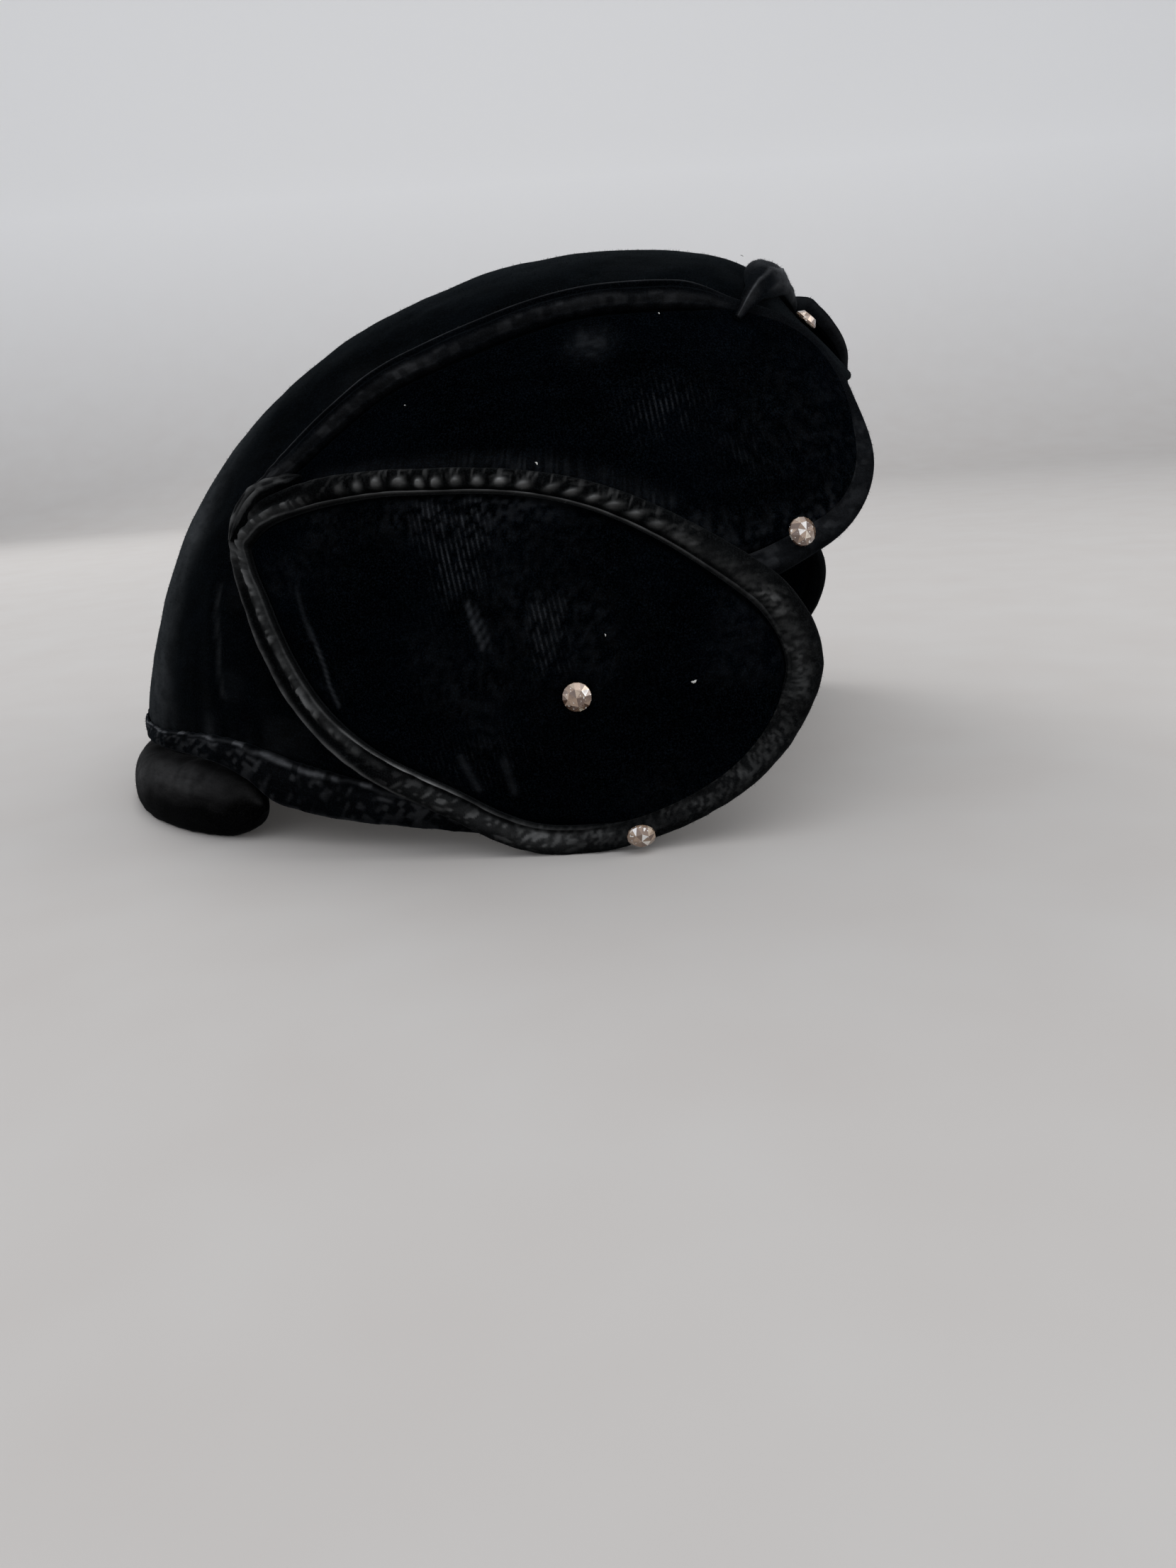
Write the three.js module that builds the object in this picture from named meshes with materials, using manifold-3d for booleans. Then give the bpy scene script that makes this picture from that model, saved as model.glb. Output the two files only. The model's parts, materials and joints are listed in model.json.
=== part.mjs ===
// Small close-fitting velvet cap: a hollow crown over the back and top, two leaf
// shaped panels on each side with raised edge bindings, a turned hem band, a padded
// roll at the nape, a wrapped knot at the front and seven small faceted stones.
// Millimetres. +X is the front, +Y the wearer's left, +Z up. The cap rests on z = 0
// on its nape roll and the lower edges of its two lower leaves.
import * as THREE from "three";
import { mergeVertices } from "three/addons/utils/BufferGeometryUtils.js";
import Module from "manifold-3d";

const wasm = await Module();
wasm.setup();

// ---------------------------------------------------------------- driving sizes
const HALF_WIDTH = 75;        // half width of the form that the cap is shaped to
const SQUARENESS = 2.2;       // exponent of its cross sections, 2 is an ellipse
const FLOOR = -22.4;          // height of the resting plane below the form's centre
const CENTRE_X = -10.320;     // middle of the cap's length from the form's centre

// lifts: distance outside the form of the inner and the outer face of each layer
const CROWN_IN = 0.4, CROWN_OUT = 2.6;
const BAND_IN = 3.0, BAND_OUT = 5.0;
const UPPER_IN = 3.1, UPPER_OUT = 5.3, UPPER_RIM = 7.2;
const LOWER_IN = 5.8, LOWER_OUT = 8.0, LOWER_RIM = 9.7;
const PIECE_GAP = 0.55;       // gap between a leaf panel and its binding, in plan

const LEFT_SET_BACK = 3.0;    // degrees that the lower front of the left upper leaf lies further round
const STATIONS = 24;          // stations along a leaf, from its rear tip to its front
const SPINE_FROM = 0.16, SPINE_TO = 0.84, LEFT_UPPER_SPINE_TO = 0.79;  // part of the length taken by a leaf's middle line

const STONE_RADIUS = 2.7, STONE_HEIGHT = 1.9, STONE_SIDES = 10;

// radius of the form in its middle plane; angle 0 is the front, 90 the top, 180 the back
const PROFILE = [
  { angle: -40, radius: 101.3 }, { angle: -15, radius: 100.0 }, { angle: 10, radius: 98.3 },
  { angle: 35, radius: 98.4 }, { angle: 60, radius: 97.5 }, { angle: 85, radius: 88.2 },
  { angle: 110, radius: 81.5 }, { angle: 135, radius: 81.9 }, { angle: 160, radius: 87.3 },
  { angle: 185, radius: 94.5 }, { angle: 210, radius: 104.0 }, { angle: 235, radius: 110.0 },
  { angle: 262, radius: 110.0 }, { angle: 290, radius: 105.5 },
];

// Outlines are given by direction from the form's centre: az is the angle round from
// the front (0) by the side (90) to the back (180), el the angle above the level.
const UPPER_LEAF_TOP = [
  { az: 126.6, el: 30.0 }, { az: 122.2, el: 36.0 }, { az: 115.1, el: 43.9 }, { az: 105.5, el: 50.6 },
  { az: 93.0, el: 54.1 }, { az: 81.8, el: 55.9 }, { az: 70.4, el: 56.8 }, { az: 58.5, el: 56.4 },
  { az: 48.6, el: 54.6 }, { az: 38.5, el: 52.3 }, { az: 29.4, el: 48.9 }, { az: 23.2, el: 45.9 },
  { az: 20.1, el: 42.2 }, { az: 20.5, el: 38.2 }, { az: 22.0, el: 34.4 }, { az: 24.3, el: 29.6 },
];
const UPPER_LEAF_BOTTOM = [
  { az: 126.6, el: 30.0 }, { az: 121.0, el: 26.6 }, { az: 110.0, el: 23.6 }, { az: 98.0, el: 22.0 },
  { az: 86.0, el: 20.4 }, { az: 74.0, el: 18.4 }, { az: 63.0, el: 16.6 }, { az: 54.0, el: 15.6 },
  { az: 46.0, el: 16.0 }, { az: 38.6, el: 18.0 }, { az: 33.2, el: 19.8 }, { az: 29.0, el: 22.6 },
  { az: 25.9, el: 26.2 }, { az: 24.3, el: 29.6 },
];
// the left upper leaf lies a little further round, but its top corner reaches nearer the middle
const LEFT_UPPER_LEAF_TOP = [
  { az: 126.6, el: 30.0 }, { az: 122.3, el: 36.0 }, { az: 115.4, el: 43.9 }, { az: 106.0, el: 50.6 },
  { az: 93.8, el: 54.1 }, { az: 82.9, el: 55.9 }, { az: 71.7, el: 56.8 }, { az: 60.1, el: 56.4 },
  { az: 50.4, el: 54.6 }, { az: 40.6, el: 52.3 }, { az: 30.0, el: 51.0 }, { az: 20.0, el: 49.9 },
  { az: 12.0, el: 49.0 }, { az: 6.0, el: 48.4 }, { az: 3.8, el: 46.8 }, { az: 6.0, el: 44.0 },
  { az: 11.0, el: 41.0 }, { az: 17.5, el: 38.2 }, { az: 22.6, el: 34.2 }, { az: 26.7, el: 29.6 },
];
const LOWER_LEAF_TOP = [
  { az: 124.2, el: 26.6 }, { az: 121.0, el: 30.4 }, { az: 114.7, el: 33.1 }, { az: 108.1, el: 34.6 },
  { az: 99.0, el: 35.4 }, { az: 89.0, el: 35.0 }, { az: 79.2, el: 34.0 }, { az: 70.7, el: 32.2 },
  { az: 64.5, el: 30.0 }, { az: 58.6, el: 26.9 }, { az: 52.9, el: 23.0 }, { az: 48.3, el: 19.4 },
  { az: 44.6, el: 15.9 }, { az: 42.2, el: 12.0 }, { az: 41.0, el: 8.2 }, { az: 40.9, el: 4.3 },
];
const LOWER_LEAF_BOTTOM = [
  { az: 124.2, el: 26.6 }, { az: 122.2, el: 22.6 }, { az: 119.4, el: 18.4 }, { az: 116.7, el: 13.8 },
  { az: 113.4, el: 8.6 }, { az: 109.4, el: 3.1 }, { az: 104.7, el: -1.7 }, { az: 100.0, el: -5.2 },
  { az: 94.4, el: -8.2 }, { az: 88.8, el: -10.9 }, { az: 83.4, el: -13.8 }, { az: 77.6, el: -15.8 },
  { az: 71.4, el: -16.0 }, { az: 65.2, el: -15.1 }, { az: 59.5, el: -13.2 }, { az: 54.8, el: -11.0 },
  { az: 50.3, el: -8.3 }, { az: 46.1, el: -4.5 }, { az: 43.0, el: -0.1 }, { az: 40.9, el: 4.3 },
];

// binding width along a leaf's outline: at 0 is the rear tip, 0.5 the front, 1 the rear tip again
const UPPER_BINDING = [
  { at: 0.00, width: 2.6 }, { at: 0.02, width: 2.8 }, { at: 0.06, width: 4.8 }, { at: 0.25, width: 5.8 }, { at: 0.38, width: 5.4 },
  { at: 0.46, width: 4.6 }, { at: 0.54, width: 4.4 }, { at: 0.62, width: 5.6 }, { at: 1.00, width: 5.0 },
];
const LOWER_BINDING = [
  { at: 0.00, width: 4.6 }, { at: 0.05, width: 4.9 }, { at: 0.10, width: 4.7 }, { at: 0.16, width: 4.1 }, { at: 0.26, width: 3.9 },
  { at: 0.34, width: 4.6 }, { at: 0.42, width: 6.0 }, { at: 0.50, width: 6.6 }, { at: 0.60, width: 5.2 }, { at: 0.75, width: 5.4 },
  { at: 0.90, width: 5.0 }, { at: 1.00, width: 4.6 },
];
const UPPER_BINDING_FROM = 1, UPPER_BINDING_TO = 29;  // stations of the open upper binding

// across a binding: across 0 is the outer edge and 1 the seam, rise 0 the bottom and 1 the crest
const BINDING_SECTION = [
  { across: 0.06, rise: 0.00 }, { across: 0.94, rise: 0.00 }, { across: 1.00, rise: 0.34 }, { across: 0.90, rise: 0.78 },
  { across: 0.62, rise: 1.00 }, { across: 0.32, rise: 1.00 }, { across: 0.08, rise: 0.76 }, { across: 0.00, rise: 0.34 },
];

// lower edge of the crown shell; at the sides it runs under the leaves
const CROWN_EDGE = [
  { az: 0, el: 38.8 }, { az: 9, el: 38.6 }, { az: 18, el: 38.2 }, { az: 28, el: 37.6 }, { az: 42, el: 33.5 },
  { az: 56, el: 26.0 }, { az: 68, el: 15.0 }, { az: 78, el: 2.0 }, { az: 87, el: -8.6 }, { az: 97, el: -10.6 },
  { az: 107, el: -8.4 }, { az: 116, el: -6.8 }, { az: 123, el: -5.0 }, { az: 130, el: -4.0 },
  { az: 145, el: -3.7 }, { az: 162, el: -3.9 }, { az: 180, el: -3.9 },
];
const CROWN_COLUMNS = 56, CROWN_RINGS = 10;
const CROWN_FULLNESS = [  // extra lift of both faces by angle in the middle plane: fuller at the top of the back, pressed in lower down
  { turn: 20, lift: 0 }, { turn: 57, lift: 0 }, { turn: 70, lift: 0.3 }, { turn: 92, lift: 0.45 }, { turn: 99, lift: 0.85 },
  { turn: 105, lift: 1.45 }, { turn: 111, lift: 1.8 }, { turn: 118, lift: 1.85 }, { turn: 126, lift: 1.5 }, { turn: 134, lift: 1.05 },
  { turn: 143, lift: 0.65 }, { turn: 151, lift: 0.15 }, { turn: 160, lift: -0.4 }, { turn: 168, lift: -0.6 }, { turn: 176, lift: -0.15 },
  { turn: 182, lift: 0 }, { turn: 240, lift: 0 },
];
const FULLNESS_SIDE = { from: 25, to: 36 };  // it fades out between these angles from the middle plane
const FRONT_DIP = { az: 0, el: 43, depth: 2.0, spread: 12 };  // the crown lies lower between the upper leaves

// turned hem band round the back, from under one lower leaf to under the other
const HEM_BAND = [
  { az: 85.0, top: -10.6, bottom: -14.4 }, { az: 91.0, top: -9.6, bottom: -13.9 }, { az: 98.0, top: -7.6, bottom: -13.2 },
  { az: 107.0, top: -5.2, bottom: -12.3 }, { az: 114.4, top: -3.4, bottom: -10.9 }, { az: 118.5, top: -2.2, bottom: -9.7 },
  { az: 122.9, top: -1.2, bottom: -6.6 }, { az: 129.0, top: -0.7, bottom: -4.7 }, { az: 136.0, top: -1.0, bottom: -4.2 },
  { az: 145.0, top: -1.7, bottom: -4.2 }, { az: 160.0, top: -2.0, bottom: -4.4 }, { az: 180.0, top: -2.0, bottom: -4.4 },
];
const BAND_COLUMNS = 40;

// padded roll at the nape: its upper and lower limit and how far it stands out and in
const NAPE_ROLL = [
  { az: 120.0, top: -9.5, bottom: -11.0, outer: 4.2, inner: 1.6 }, { az: 121.6, top: -7.8, bottom: -12.0, outer: 5.6, inner: 0.4 },
  { az: 125.5, top: -6.4, bottom: -13.8, outer: 7.0, inner: -2.0 }, { az: 131.0, top: -5.4, bottom: -14.6, outer: 8.0, inner: -4.0 },
  { az: 140.0, top: -5.2, bottom: -15.0, outer: 8.0, inner: -5.5 }, { az: 152.0, top: -5.3, bottom: -15.2, outer: 7.6, inner: -6.0 },
  { az: 166.0, top: -5.4, bottom: -15.2, outer: 7.5, inner: -6.0 }, { az: 180.0, top: -5.4, bottom: -15.2, outer: 7.5, inner: -6.0 },
];
const ROLL_COLUMNS = 26, ROLL_SIDES = 10;

// wrapped knot across the front: side is the angle from the middle plane, front and rear
// its limits as angles in the middle plane, crest and bed its outer and inner lift
const FRONT_KNOT = [
  { side: -26.5, front: 50.4, rear: 52.0, crest: 9.2, bed: 7.8 }, { side: -22.5, front: 49.8, rear: 53.2, crest: 9.7, bed: 7.8 },
  { side: -17.5, front: 49.6, rear: 54.6, crest: 9.5, bed: 7.7 }, { side: -10.5, front: 50.2, rear: 55.6, crest: 8.4, bed: 7.5 },
  { side: -6.0, front: 50.9, rear: 56.0, crest: 7.3, bed: 3.8 }, { side: 0.0, front: 51.4, rear: 56.2, crest: 6.8, bed: 3.2 },
];
const KNOT_COLUMNS = 16, KNOT_SIDES = 10;

// stones: direction, lift of the flat back above the form, and which layer carries it
const STONES = [
  { name: "stone_front", az: 2.0, el: 47.4, lift: CROWN_OUT - FRONT_DIP.depth + 0.4, pair: false },
  { name: "stone_upper", az: 41.2, el: 20.5, lift: UPPER_RIM + 0.35, pair: true },
  { name: "stone_middle", az: 70.4, el: 5.7, lift: LOWER_OUT + 0.4, pair: true },
  { name: "stone_edge", az: 63.6, el: -12.7, lift: LOWER_RIM + 0.35, pair: true },
];

// colours and finish
const VELVET = { color: 0x08090c, roughness: 0.95, metalness: 0 };
const BINDING = { color: 0x101116, roughness: 0.9, metalness: 0 };
const GLASS = { color: 0xd9cdb8, roughness: 0.1, metalness: 0.55 };

// ---------------------------------------------------------------- the form
const DEG = Math.PI / 180;

// smooth closed curve through the profile table
function profileRadius(angle) {
  const n = PROFILE.length, first = PROFILE[0].angle;
  const a = ((angle - first) % 360 + 360) % 360 + first;
  let k = n - 1;
  while (PROFILE[k].angle > a) k--;
  const at = (i) => {
    const turn = Math.floor(i / n), row = PROFILE[i - turn * n];
    return { x: row.angle + 360 * turn, y: row.radius };
  };
  const p0 = at(k - 1), p1 = at(k), p2 = at(k + 1), p3 = at(k + 2);
  const h = p2.x - p1.x, s = (a - p1.x) / h;
  const m1 = (p2.y - p0.y) / (p2.x - p0.x), m2 = (p3.y - p1.y) / (p3.x - p1.x);
  return (2 * s ** 3 - 3 * s ** 2 + 1) * p1.y + (s ** 3 - 2 * s ** 2 + s) * h * m1
    + (-2 * s ** 3 + 3 * s ** 2) * p2.y + (s ** 3 - s ** 2) * h * m2;
}

// 1 on the form's surface, growing outwards
function formLevel(v) {
  const p = profileRadius(Math.atan2(v.z, v.x) / DEG), rho = Math.hypot(v.x, v.z);
  return ((rho / p) ** SQUARENESS + (Math.abs(v.y) / HALF_WIDTH) ** SQUARENESS) ** (1 / SQUARENESS);
}

function formNormal(v) {
  const e = 0.05, g = new THREE.Vector3();
  for (const axis of ["x", "y", "z"]) {
    const a = v.clone(), b = v.clone();
    a[axis] += e; b[axis] -= e;
    g[axis] = formLevel(a) - formLevel(b);
  }
  return g.normalize();
}

// point at a lift outside the form, in the direction dir
function onForm(dir, lift) {
  const v = dir.clone().divideScalar(formLevel(dir));
  return v.addScaledVector(formNormal(v), lift);
}

function direction(az, el, side = -1) {
  return new THREE.Vector3(Math.cos(el * DEG) * Math.cos(az * DEG), side * Math.cos(el * DEG) * Math.sin(az * DEG), Math.sin(el * DEG));
}

// value of a table's columns at a key, by smooth interpolation through its rows
function lookup(rows, key, value) {
  const last = rows.length - 1;
  if (value <= rows[0][key]) return rows[0];
  if (value >= rows[last][key]) return rows[last];
  let k = 0;
  while (rows[k + 1][key] < value) k++;
  const at = (i) => rows[Math.min(last, Math.max(0, i))];
  const p0 = at(k - 1), p1 = rows[k], p2 = rows[k + 1], p3 = at(k + 2), h = p2[key] - p1[key], s = (value - p1[key]) / h;
  const out = {};
  for (const column of Object.keys(p1)) {
    if (column === key) { out[column] = value; continue; }
    const m1 = p2[key] > p0[key] ? (p2[column] - p0[column]) / (p2[key] - p0[key]) : 0;
    const m2 = p3[key] > p1[key] ? (p3[column] - p1[column]) / (p3[key] - p1[key]) : 0;
    out[column] = (2 * s ** 3 - 3 * s ** 2 + 1) * p1[column] + (s ** 3 - 2 * s ** 2 + s) * h * m1
      + (-2 * s ** 3 + 3 * s ** 2) * p2[column] + (s ** 3 - s ** 2) * h * m2;
  }
  return out;
}

// ---------------------------------------------------------------- solids from rings
// points of a ring in order; rings are joined in order into a closed mesh
function solid(vertices, triangles) {
  const geometry = new THREE.BufferGeometry();
  const positions = new Float32Array(vertices.length * 3);
  vertices.forEach((v, i) => positions.set([v.x - CENTRE_X, v.y, v.z - FLOOR], 3 * i));
  geometry.setAttribute("position", new THREE.BufferAttribute(positions, 3));
  let volume = 0;
  for (const [a, b, c] of triangles) volume += vertices[a].dot(new THREE.Vector3().crossVectors(vertices[b], vertices[c]));
  const index = triangles.flatMap(([a, b, c]) => (volume > 0 ? [a, b, c] : [a, c, b]));
  geometry.setIndex(index);
  return geometry;
}

const quad = (a, b, c, d) => [[a, b, c], [a, c, d]];

// closed sections swept along a row of stations; a loop joins the last to the first
function sweep(sections, loop) {
  const vertices = [], triangles = [], n = sections[0].length, m = sections.length;
  sections.forEach((ring) => vertices.push(...ring));
  for (let i = 0; i < (loop ? m : m - 1); i++) {
    const a = i * n, b = ((i + 1) % m) * n;
    for (let j = 0; j < n; j++) {
      const k = (j + 1) % n;
      triangles.push(...quad(a + j, a + k, b + k, b + j));
    }
  }
  if (!loop) {
    for (const [ring, start, flip] of [[sections[0], 0, true], [sections[m - 1], (m - 1) * n, false]]) {
      const middle = ring.reduce((s, v) => s.add(v), new THREE.Vector3()).divideScalar(n);
      vertices.push(middle);
      const c = vertices.length - 1;
      for (let j = 0; j < n; j++) {
        const k = (j + 1) % n;
        triangles.push(flip ? [c, start + k, start + j] : [c, start + j, start + k]);
      }
    }
  }
  return solid(vertices, triangles);
}

// ---------------------------------------------------------------- leaves
function edgeCurve(rows, side) {
  return new THREE.CatmullRomCurve3(rows.map((r) => direction(r.az, r.el, side).multiplyScalar(100)), false, "centripetal");
}

// outline of a leaf, round from the rear tip over the top to the front and back below,
// with the matching points of its middle line
function leafFrame(topRows, bottomRows, side, spineTo = SPINE_TO) {
  const top = edgeCurve(topRows, side), bottom = edgeCurve(bottomRows, side);
  const count = 2 * STATIONS, outline = [], spine = [];
  const pick = (curve, f) => curve.getPointAt(f).normalize();
  for (let j = 0; j < count; j++) {
    const f = j <= STATIONS ? j / STATIONS : (count - j) / STATIONS;
    outline.push(pick(j <= STATIONS ? top : bottom, f));
    const g = SPINE_FROM + (spineTo - SPINE_FROM) * f;
    spine.push(pick(top, g).add(pick(bottom, g)).normalize());
  }
  const length = outline.map((d, j) => onForm(d, 0).distanceTo(onForm(spine[j], 0)));
  // point at a distance in from the outline, at a lift
  const at = (j, inward, lift) => onForm(spine[j].clone().lerp(outline[j], 1 - inward / length[j]).normalize(), lift);
  return { count, outline, spine, length, at };
}

function leafPanel(frame, edge, low, high, steps = 3) {
  const rings = Array.from({ length: steps }, (_, i) => (i + 1) / steps), { count } = frame, vertices = [], triangles = [];
  const faces = [high, low].map((lift) => {
    const spineIds = [];
    for (let j = 0; j < count; j++) {
      const twin = j <= STATIONS ? j : count - j;
      if (j > STATIONS) { spineIds.push(spineIds[twin]); continue; }
      vertices.push(onForm(frame.spine[j], lift));
      spineIds.push(vertices.length - 1);
    }
    const ids = [spineIds];
    for (const r of rings) {
      const ring = [];
      for (let j = 0; j < count; j++) {
        const inward = frame.length[j] - r * (frame.length[j] - edge(j));
        vertices.push(frame.at(j, inward, lift));
        ring.push(vertices.length - 1);
      }
      ids.push(ring);
    }
    return ids;
  });
  for (let j = 0; j < count; j++) {
    const k = (j + 1) % count;
    faces.forEach((ids, face) => {
      for (let r = 0; r < ids.length - 1; r++) {
        const corners = [ids[r][j], ids[r][k], ids[r + 1][k], ids[r + 1][j]];
        triangles.push(...(face === 0 ? quad(...corners) : quad(...corners.reverse())));
      }
    });
    const outer = faces[0][rings.length], inner = faces[1][rings.length];
    triangles.push(...quad(outer[j], outer[k], inner[k], inner[j]));
  }
  return solid(vertices, triangles);
}

function bindingSections(frame, width, low, high, from, to) {
  const sections = [];
  for (let j = from; j <= to; j++) {
    const w = width(j % frame.count);
    sections.push(BINDING_SECTION.map((p) => frame.at(j % frame.count, p.across * w, low + p.rise * (high - low))));
  }
  return sections;
}

// ---------------------------------------------------------------- crown, band, roll, knot
function crownShell() {
  const vertices = [], triangles = [];
  const dirs = (c, r) => {
    const a = (360 * c) / CROWN_COLUMNS, side = a <= 180 ? -1 : 1, az = a <= 180 ? a : 360 - a;
    const edge = lookup(CROWN_EDGE, "az", az).el;
    return direction(az, 90 - (90 - edge) * (r / CROWN_RINGS), side);
  };
  const dip = direction(FRONT_DIP.az, FRONT_DIP.el);
  const sink = (dir) => FRONT_DIP.depth * Math.exp(-((dir.angleTo(dip) / DEG / FRONT_DIP.spread) ** 4));
  const full = (dir) => {
    const turn = Math.atan2(dir.z, dir.x) / DEG, lean = Math.abs(Math.asin(dir.y)) / DEG;
    const t = Math.min(1, Math.max(0, (lean - FULLNESS_SIDE.from) / (FULLNESS_SIDE.to - FULLNESS_SIDE.from)));
    return lookup(CROWN_FULLNESS, "turn", turn < -60 ? turn + 360 : turn).lift * (1 - t * t * (3 - 2 * t));
  };
  const faces = [CROWN_OUT, CROWN_IN].map((lift) => {
    vertices.push(onForm(new THREE.Vector3(0, 0, 1), lift + full(new THREE.Vector3(0, 0, 1))));
    const pole = vertices.length - 1, rings = [];
    for (let r = 1; r <= CROWN_RINGS; r++) {
      const ring = [];
      for (let c = 0; c < CROWN_COLUMNS; c++) {
        const dir = dirs(c, r);
        vertices.push(onForm(dir, lift - sink(dir) + full(dir)));
        ring.push(vertices.length - 1);
      }
      rings.push(ring);
    }
    return { pole, rings };
  });
  for (let c = 0; c < CROWN_COLUMNS; c++) {
    const k = (c + 1) % CROWN_COLUMNS;
    faces.forEach(({ pole, rings }, face) => {
      triangles.push(face === 0 ? [pole, rings[0][c], rings[0][k]] : [pole, rings[0][k], rings[0][c]]);
      for (let r = 0; r < CROWN_RINGS - 1; r++) {
        const corners = [rings[r][c], rings[r + 1][c], rings[r + 1][k], rings[r][k]];
        triangles.push(...(face === 0 ? quad(...corners) : quad(...corners.reverse())));
      }
    });
    const outer = faces[0].rings[CROWN_RINGS - 1], inner = faces[1].rings[CROWN_RINGS - 1];
    triangles.push(...quad(outer[c], inner[c], inner[k], outer[k]));
  }
  return solid(vertices, triangles);
}

// stations round the back from one side (-start) over 180 to the other
function backStations(start, columns) {
  return Array.from({ length: columns + 1 }, (_, i) => {
    const a = start + (360 - 2 * start) * (i / columns);
    return { az: a <= 180 ? a : 360 - a, side: a <= 180 ? -1 : 1 };
  });
}

function hemBand() {
  const shape = [
    { down: 0.0, lift: BAND_IN }, { down: 0.0, lift: BAND_OUT - 0.7 }, { down: 0.12, lift: BAND_OUT },
    { down: 0.86, lift: BAND_OUT }, { down: 1.0, lift: BAND_OUT - 0.7 }, { down: 1.0, lift: BAND_IN },
  ];
  return sweep(backStations(HEM_BAND[0].az, BAND_COLUMNS).map(({ az, side }) => {
    const row = lookup(HEM_BAND, "az", az);
    return shape.map((p) => onForm(direction(az, row.top + (row.bottom - row.top) * p.down, side), p.lift));
  }), false);
}

function napeRoll() {
  return sweep(backStations(NAPE_ROLL[0].az, ROLL_COLUMNS).map(({ az, side }) => {
    const row = lookup(NAPE_ROLL, "az", az);
    return Array.from({ length: ROLL_SIDES }, (_, j) => {
      const t = (2 * Math.PI * (j + 0.5)) / ROLL_SIDES, c = Math.cos(t), s = Math.sin(t);
      const round = (v) => Math.sign(v) * Math.abs(v) ** 0.85;
      const el = (row.top + row.bottom) / 2 + ((row.top - row.bottom) / 2) * round(s);
      return onForm(direction(az, el, side), (row.outer + row.inner) / 2 + ((row.outer - row.inner) / 2) * round(c));
    });
  }), false);
}

// direction from an angle in the middle plane and an angle to the side
function sagittal(angle, side) {
  return new THREE.Vector3(Math.cos(side * DEG) * Math.cos(angle * DEG), Math.sin(side * DEG), Math.cos(side * DEG) * Math.sin(angle * DEG));
}

function frontKnot() {
  const reach = -FRONT_KNOT[0].side;
  return sweep(Array.from({ length: KNOT_COLUMNS + 1 }, (_, i) => {
    const side = -reach * Math.cos((Math.PI * i) / KNOT_COLUMNS), row = lookup(FRONT_KNOT, "side", -Math.abs(side));
    return Array.from({ length: KNOT_SIDES }, (_, j) => {
      const t = (2 * Math.PI * (j + 0.5)) / KNOT_SIDES, c = Math.cos(t), s = Math.sin(t);
      const round = (v) => Math.sign(v) * Math.abs(v) ** 0.8;
      const angle = (row.front + row.rear) / 2 + ((row.rear - row.front) / 2) * round(s);
      return onForm(sagittal(angle, side), (row.crest + row.bed) / 2 + ((row.crest - row.bed) / 2) * round(c));
    });
  }), false);
}

// ---------------------------------------------------------------- stones
// low faceted dome: flat back, girdle, crown facets and a small table
function stone(az, el, side, lift) {
  const base = onForm(direction(az, el, side), lift), out = formNormal(base);
  const frame = new THREE.Quaternion().setFromUnitVectors(new THREE.Vector3(0, 0, 1), out);
  const rows = [
    { radius: 0.86, height: 0.0, turn: 0 }, { radius: 1.0, height: 0.26, turn: 0 },
    { radius: 0.8, height: 0.66, turn: 0.5 }, { radius: 0.42, height: 1.0, turn: 0 },
  ];
  const vertices = [], triangles = [];
  for (const r of rows) {
    for (let j = 0; j < STONE_SIDES; j++) {
      const t = (2 * Math.PI * (j + r.turn)) / STONE_SIDES;
      const v = new THREE.Vector3(Math.cos(t) * r.radius * STONE_RADIUS, Math.sin(t) * r.radius * STONE_RADIUS, r.height * STONE_HEIGHT);
      vertices.push(v.applyQuaternion(frame).add(base));
    }
  }
  for (let r = 0; r < rows.length - 1; r++) {
    for (let j = 0; j < STONE_SIDES; j++) {
      const k = (j + 1) % STONE_SIDES, a = r * STONE_SIDES, b = a + STONE_SIDES;
      triangles.push(...quad(a + j, a + k, b + k, b + j));
    }
  }
  for (const [start, h, flip] of [[0, 0, true], [(rows.length - 1) * STONE_SIDES, STONE_HEIGHT, false]]) {
    vertices.push(base.clone().addScaledVector(out, h));
    const c = vertices.length - 1;
    for (let j = 0; j < STONE_SIDES; j++) {
      const k = (j + 1) % STONE_SIDES;
      triangles.push(flip ? [c, start + k, start + j] : [c, start + j, start + k]);
    }
  }
  return solid(vertices, triangles);
}

// ---------------------------------------------------------------- trimming at the resting plane
function toManifold(geometry) {
  const g = geometry.clone();
  for (const name of Object.keys(g.attributes)) if (name !== "position") g.deleteAttribute(name);
  const merged = mergeVertices(g, 1e-4);
  return new wasm.Manifold(new wasm.Mesh({
    numProp: 3, vertProperties: new Float32Array(merged.attributes.position.array), triVerts: new Uint32Array(merged.index.array),
  }));
}

function fromManifold(body) {
  const mesh = body.getMesh(), geometry = new THREE.BufferGeometry();
  geometry.setAttribute("position", new THREE.BufferAttribute(new Float32Array(mesh.vertProperties), 3));
  geometry.setIndex(new THREE.BufferAttribute(new Uint32Array(mesh.triVerts), 1));
  return geometry;
}

// what would sink below the resting plane is pressed flat on it
function restOnPlane(geometry) {
  const slab = new THREE.BoxGeometry(400, 400, 60).translate(0, 0, -30);
  return fromManifold(toManifold(geometry).subtract(toManifold(slab)));
}

// ---------------------------------------------------------------- the cap
const cap = new THREE.Group();

function add(name, geometry, finish) {
  geometry.computeVertexNormals();
  const mesh = new THREE.Mesh(geometry, new THREE.MeshStandardMaterial({ ...finish, flatShading: true }));
  mesh.name = name;
  cap.add(mesh);
}

add("crown_shell", crownShell(), VELVET);
add("hem_band", hemBand(), BINDING);
add("nape_roll", restOnPlane(napeRoll()), VELVET);
add("front_knot", frontKnot(), BINDING);

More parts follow.
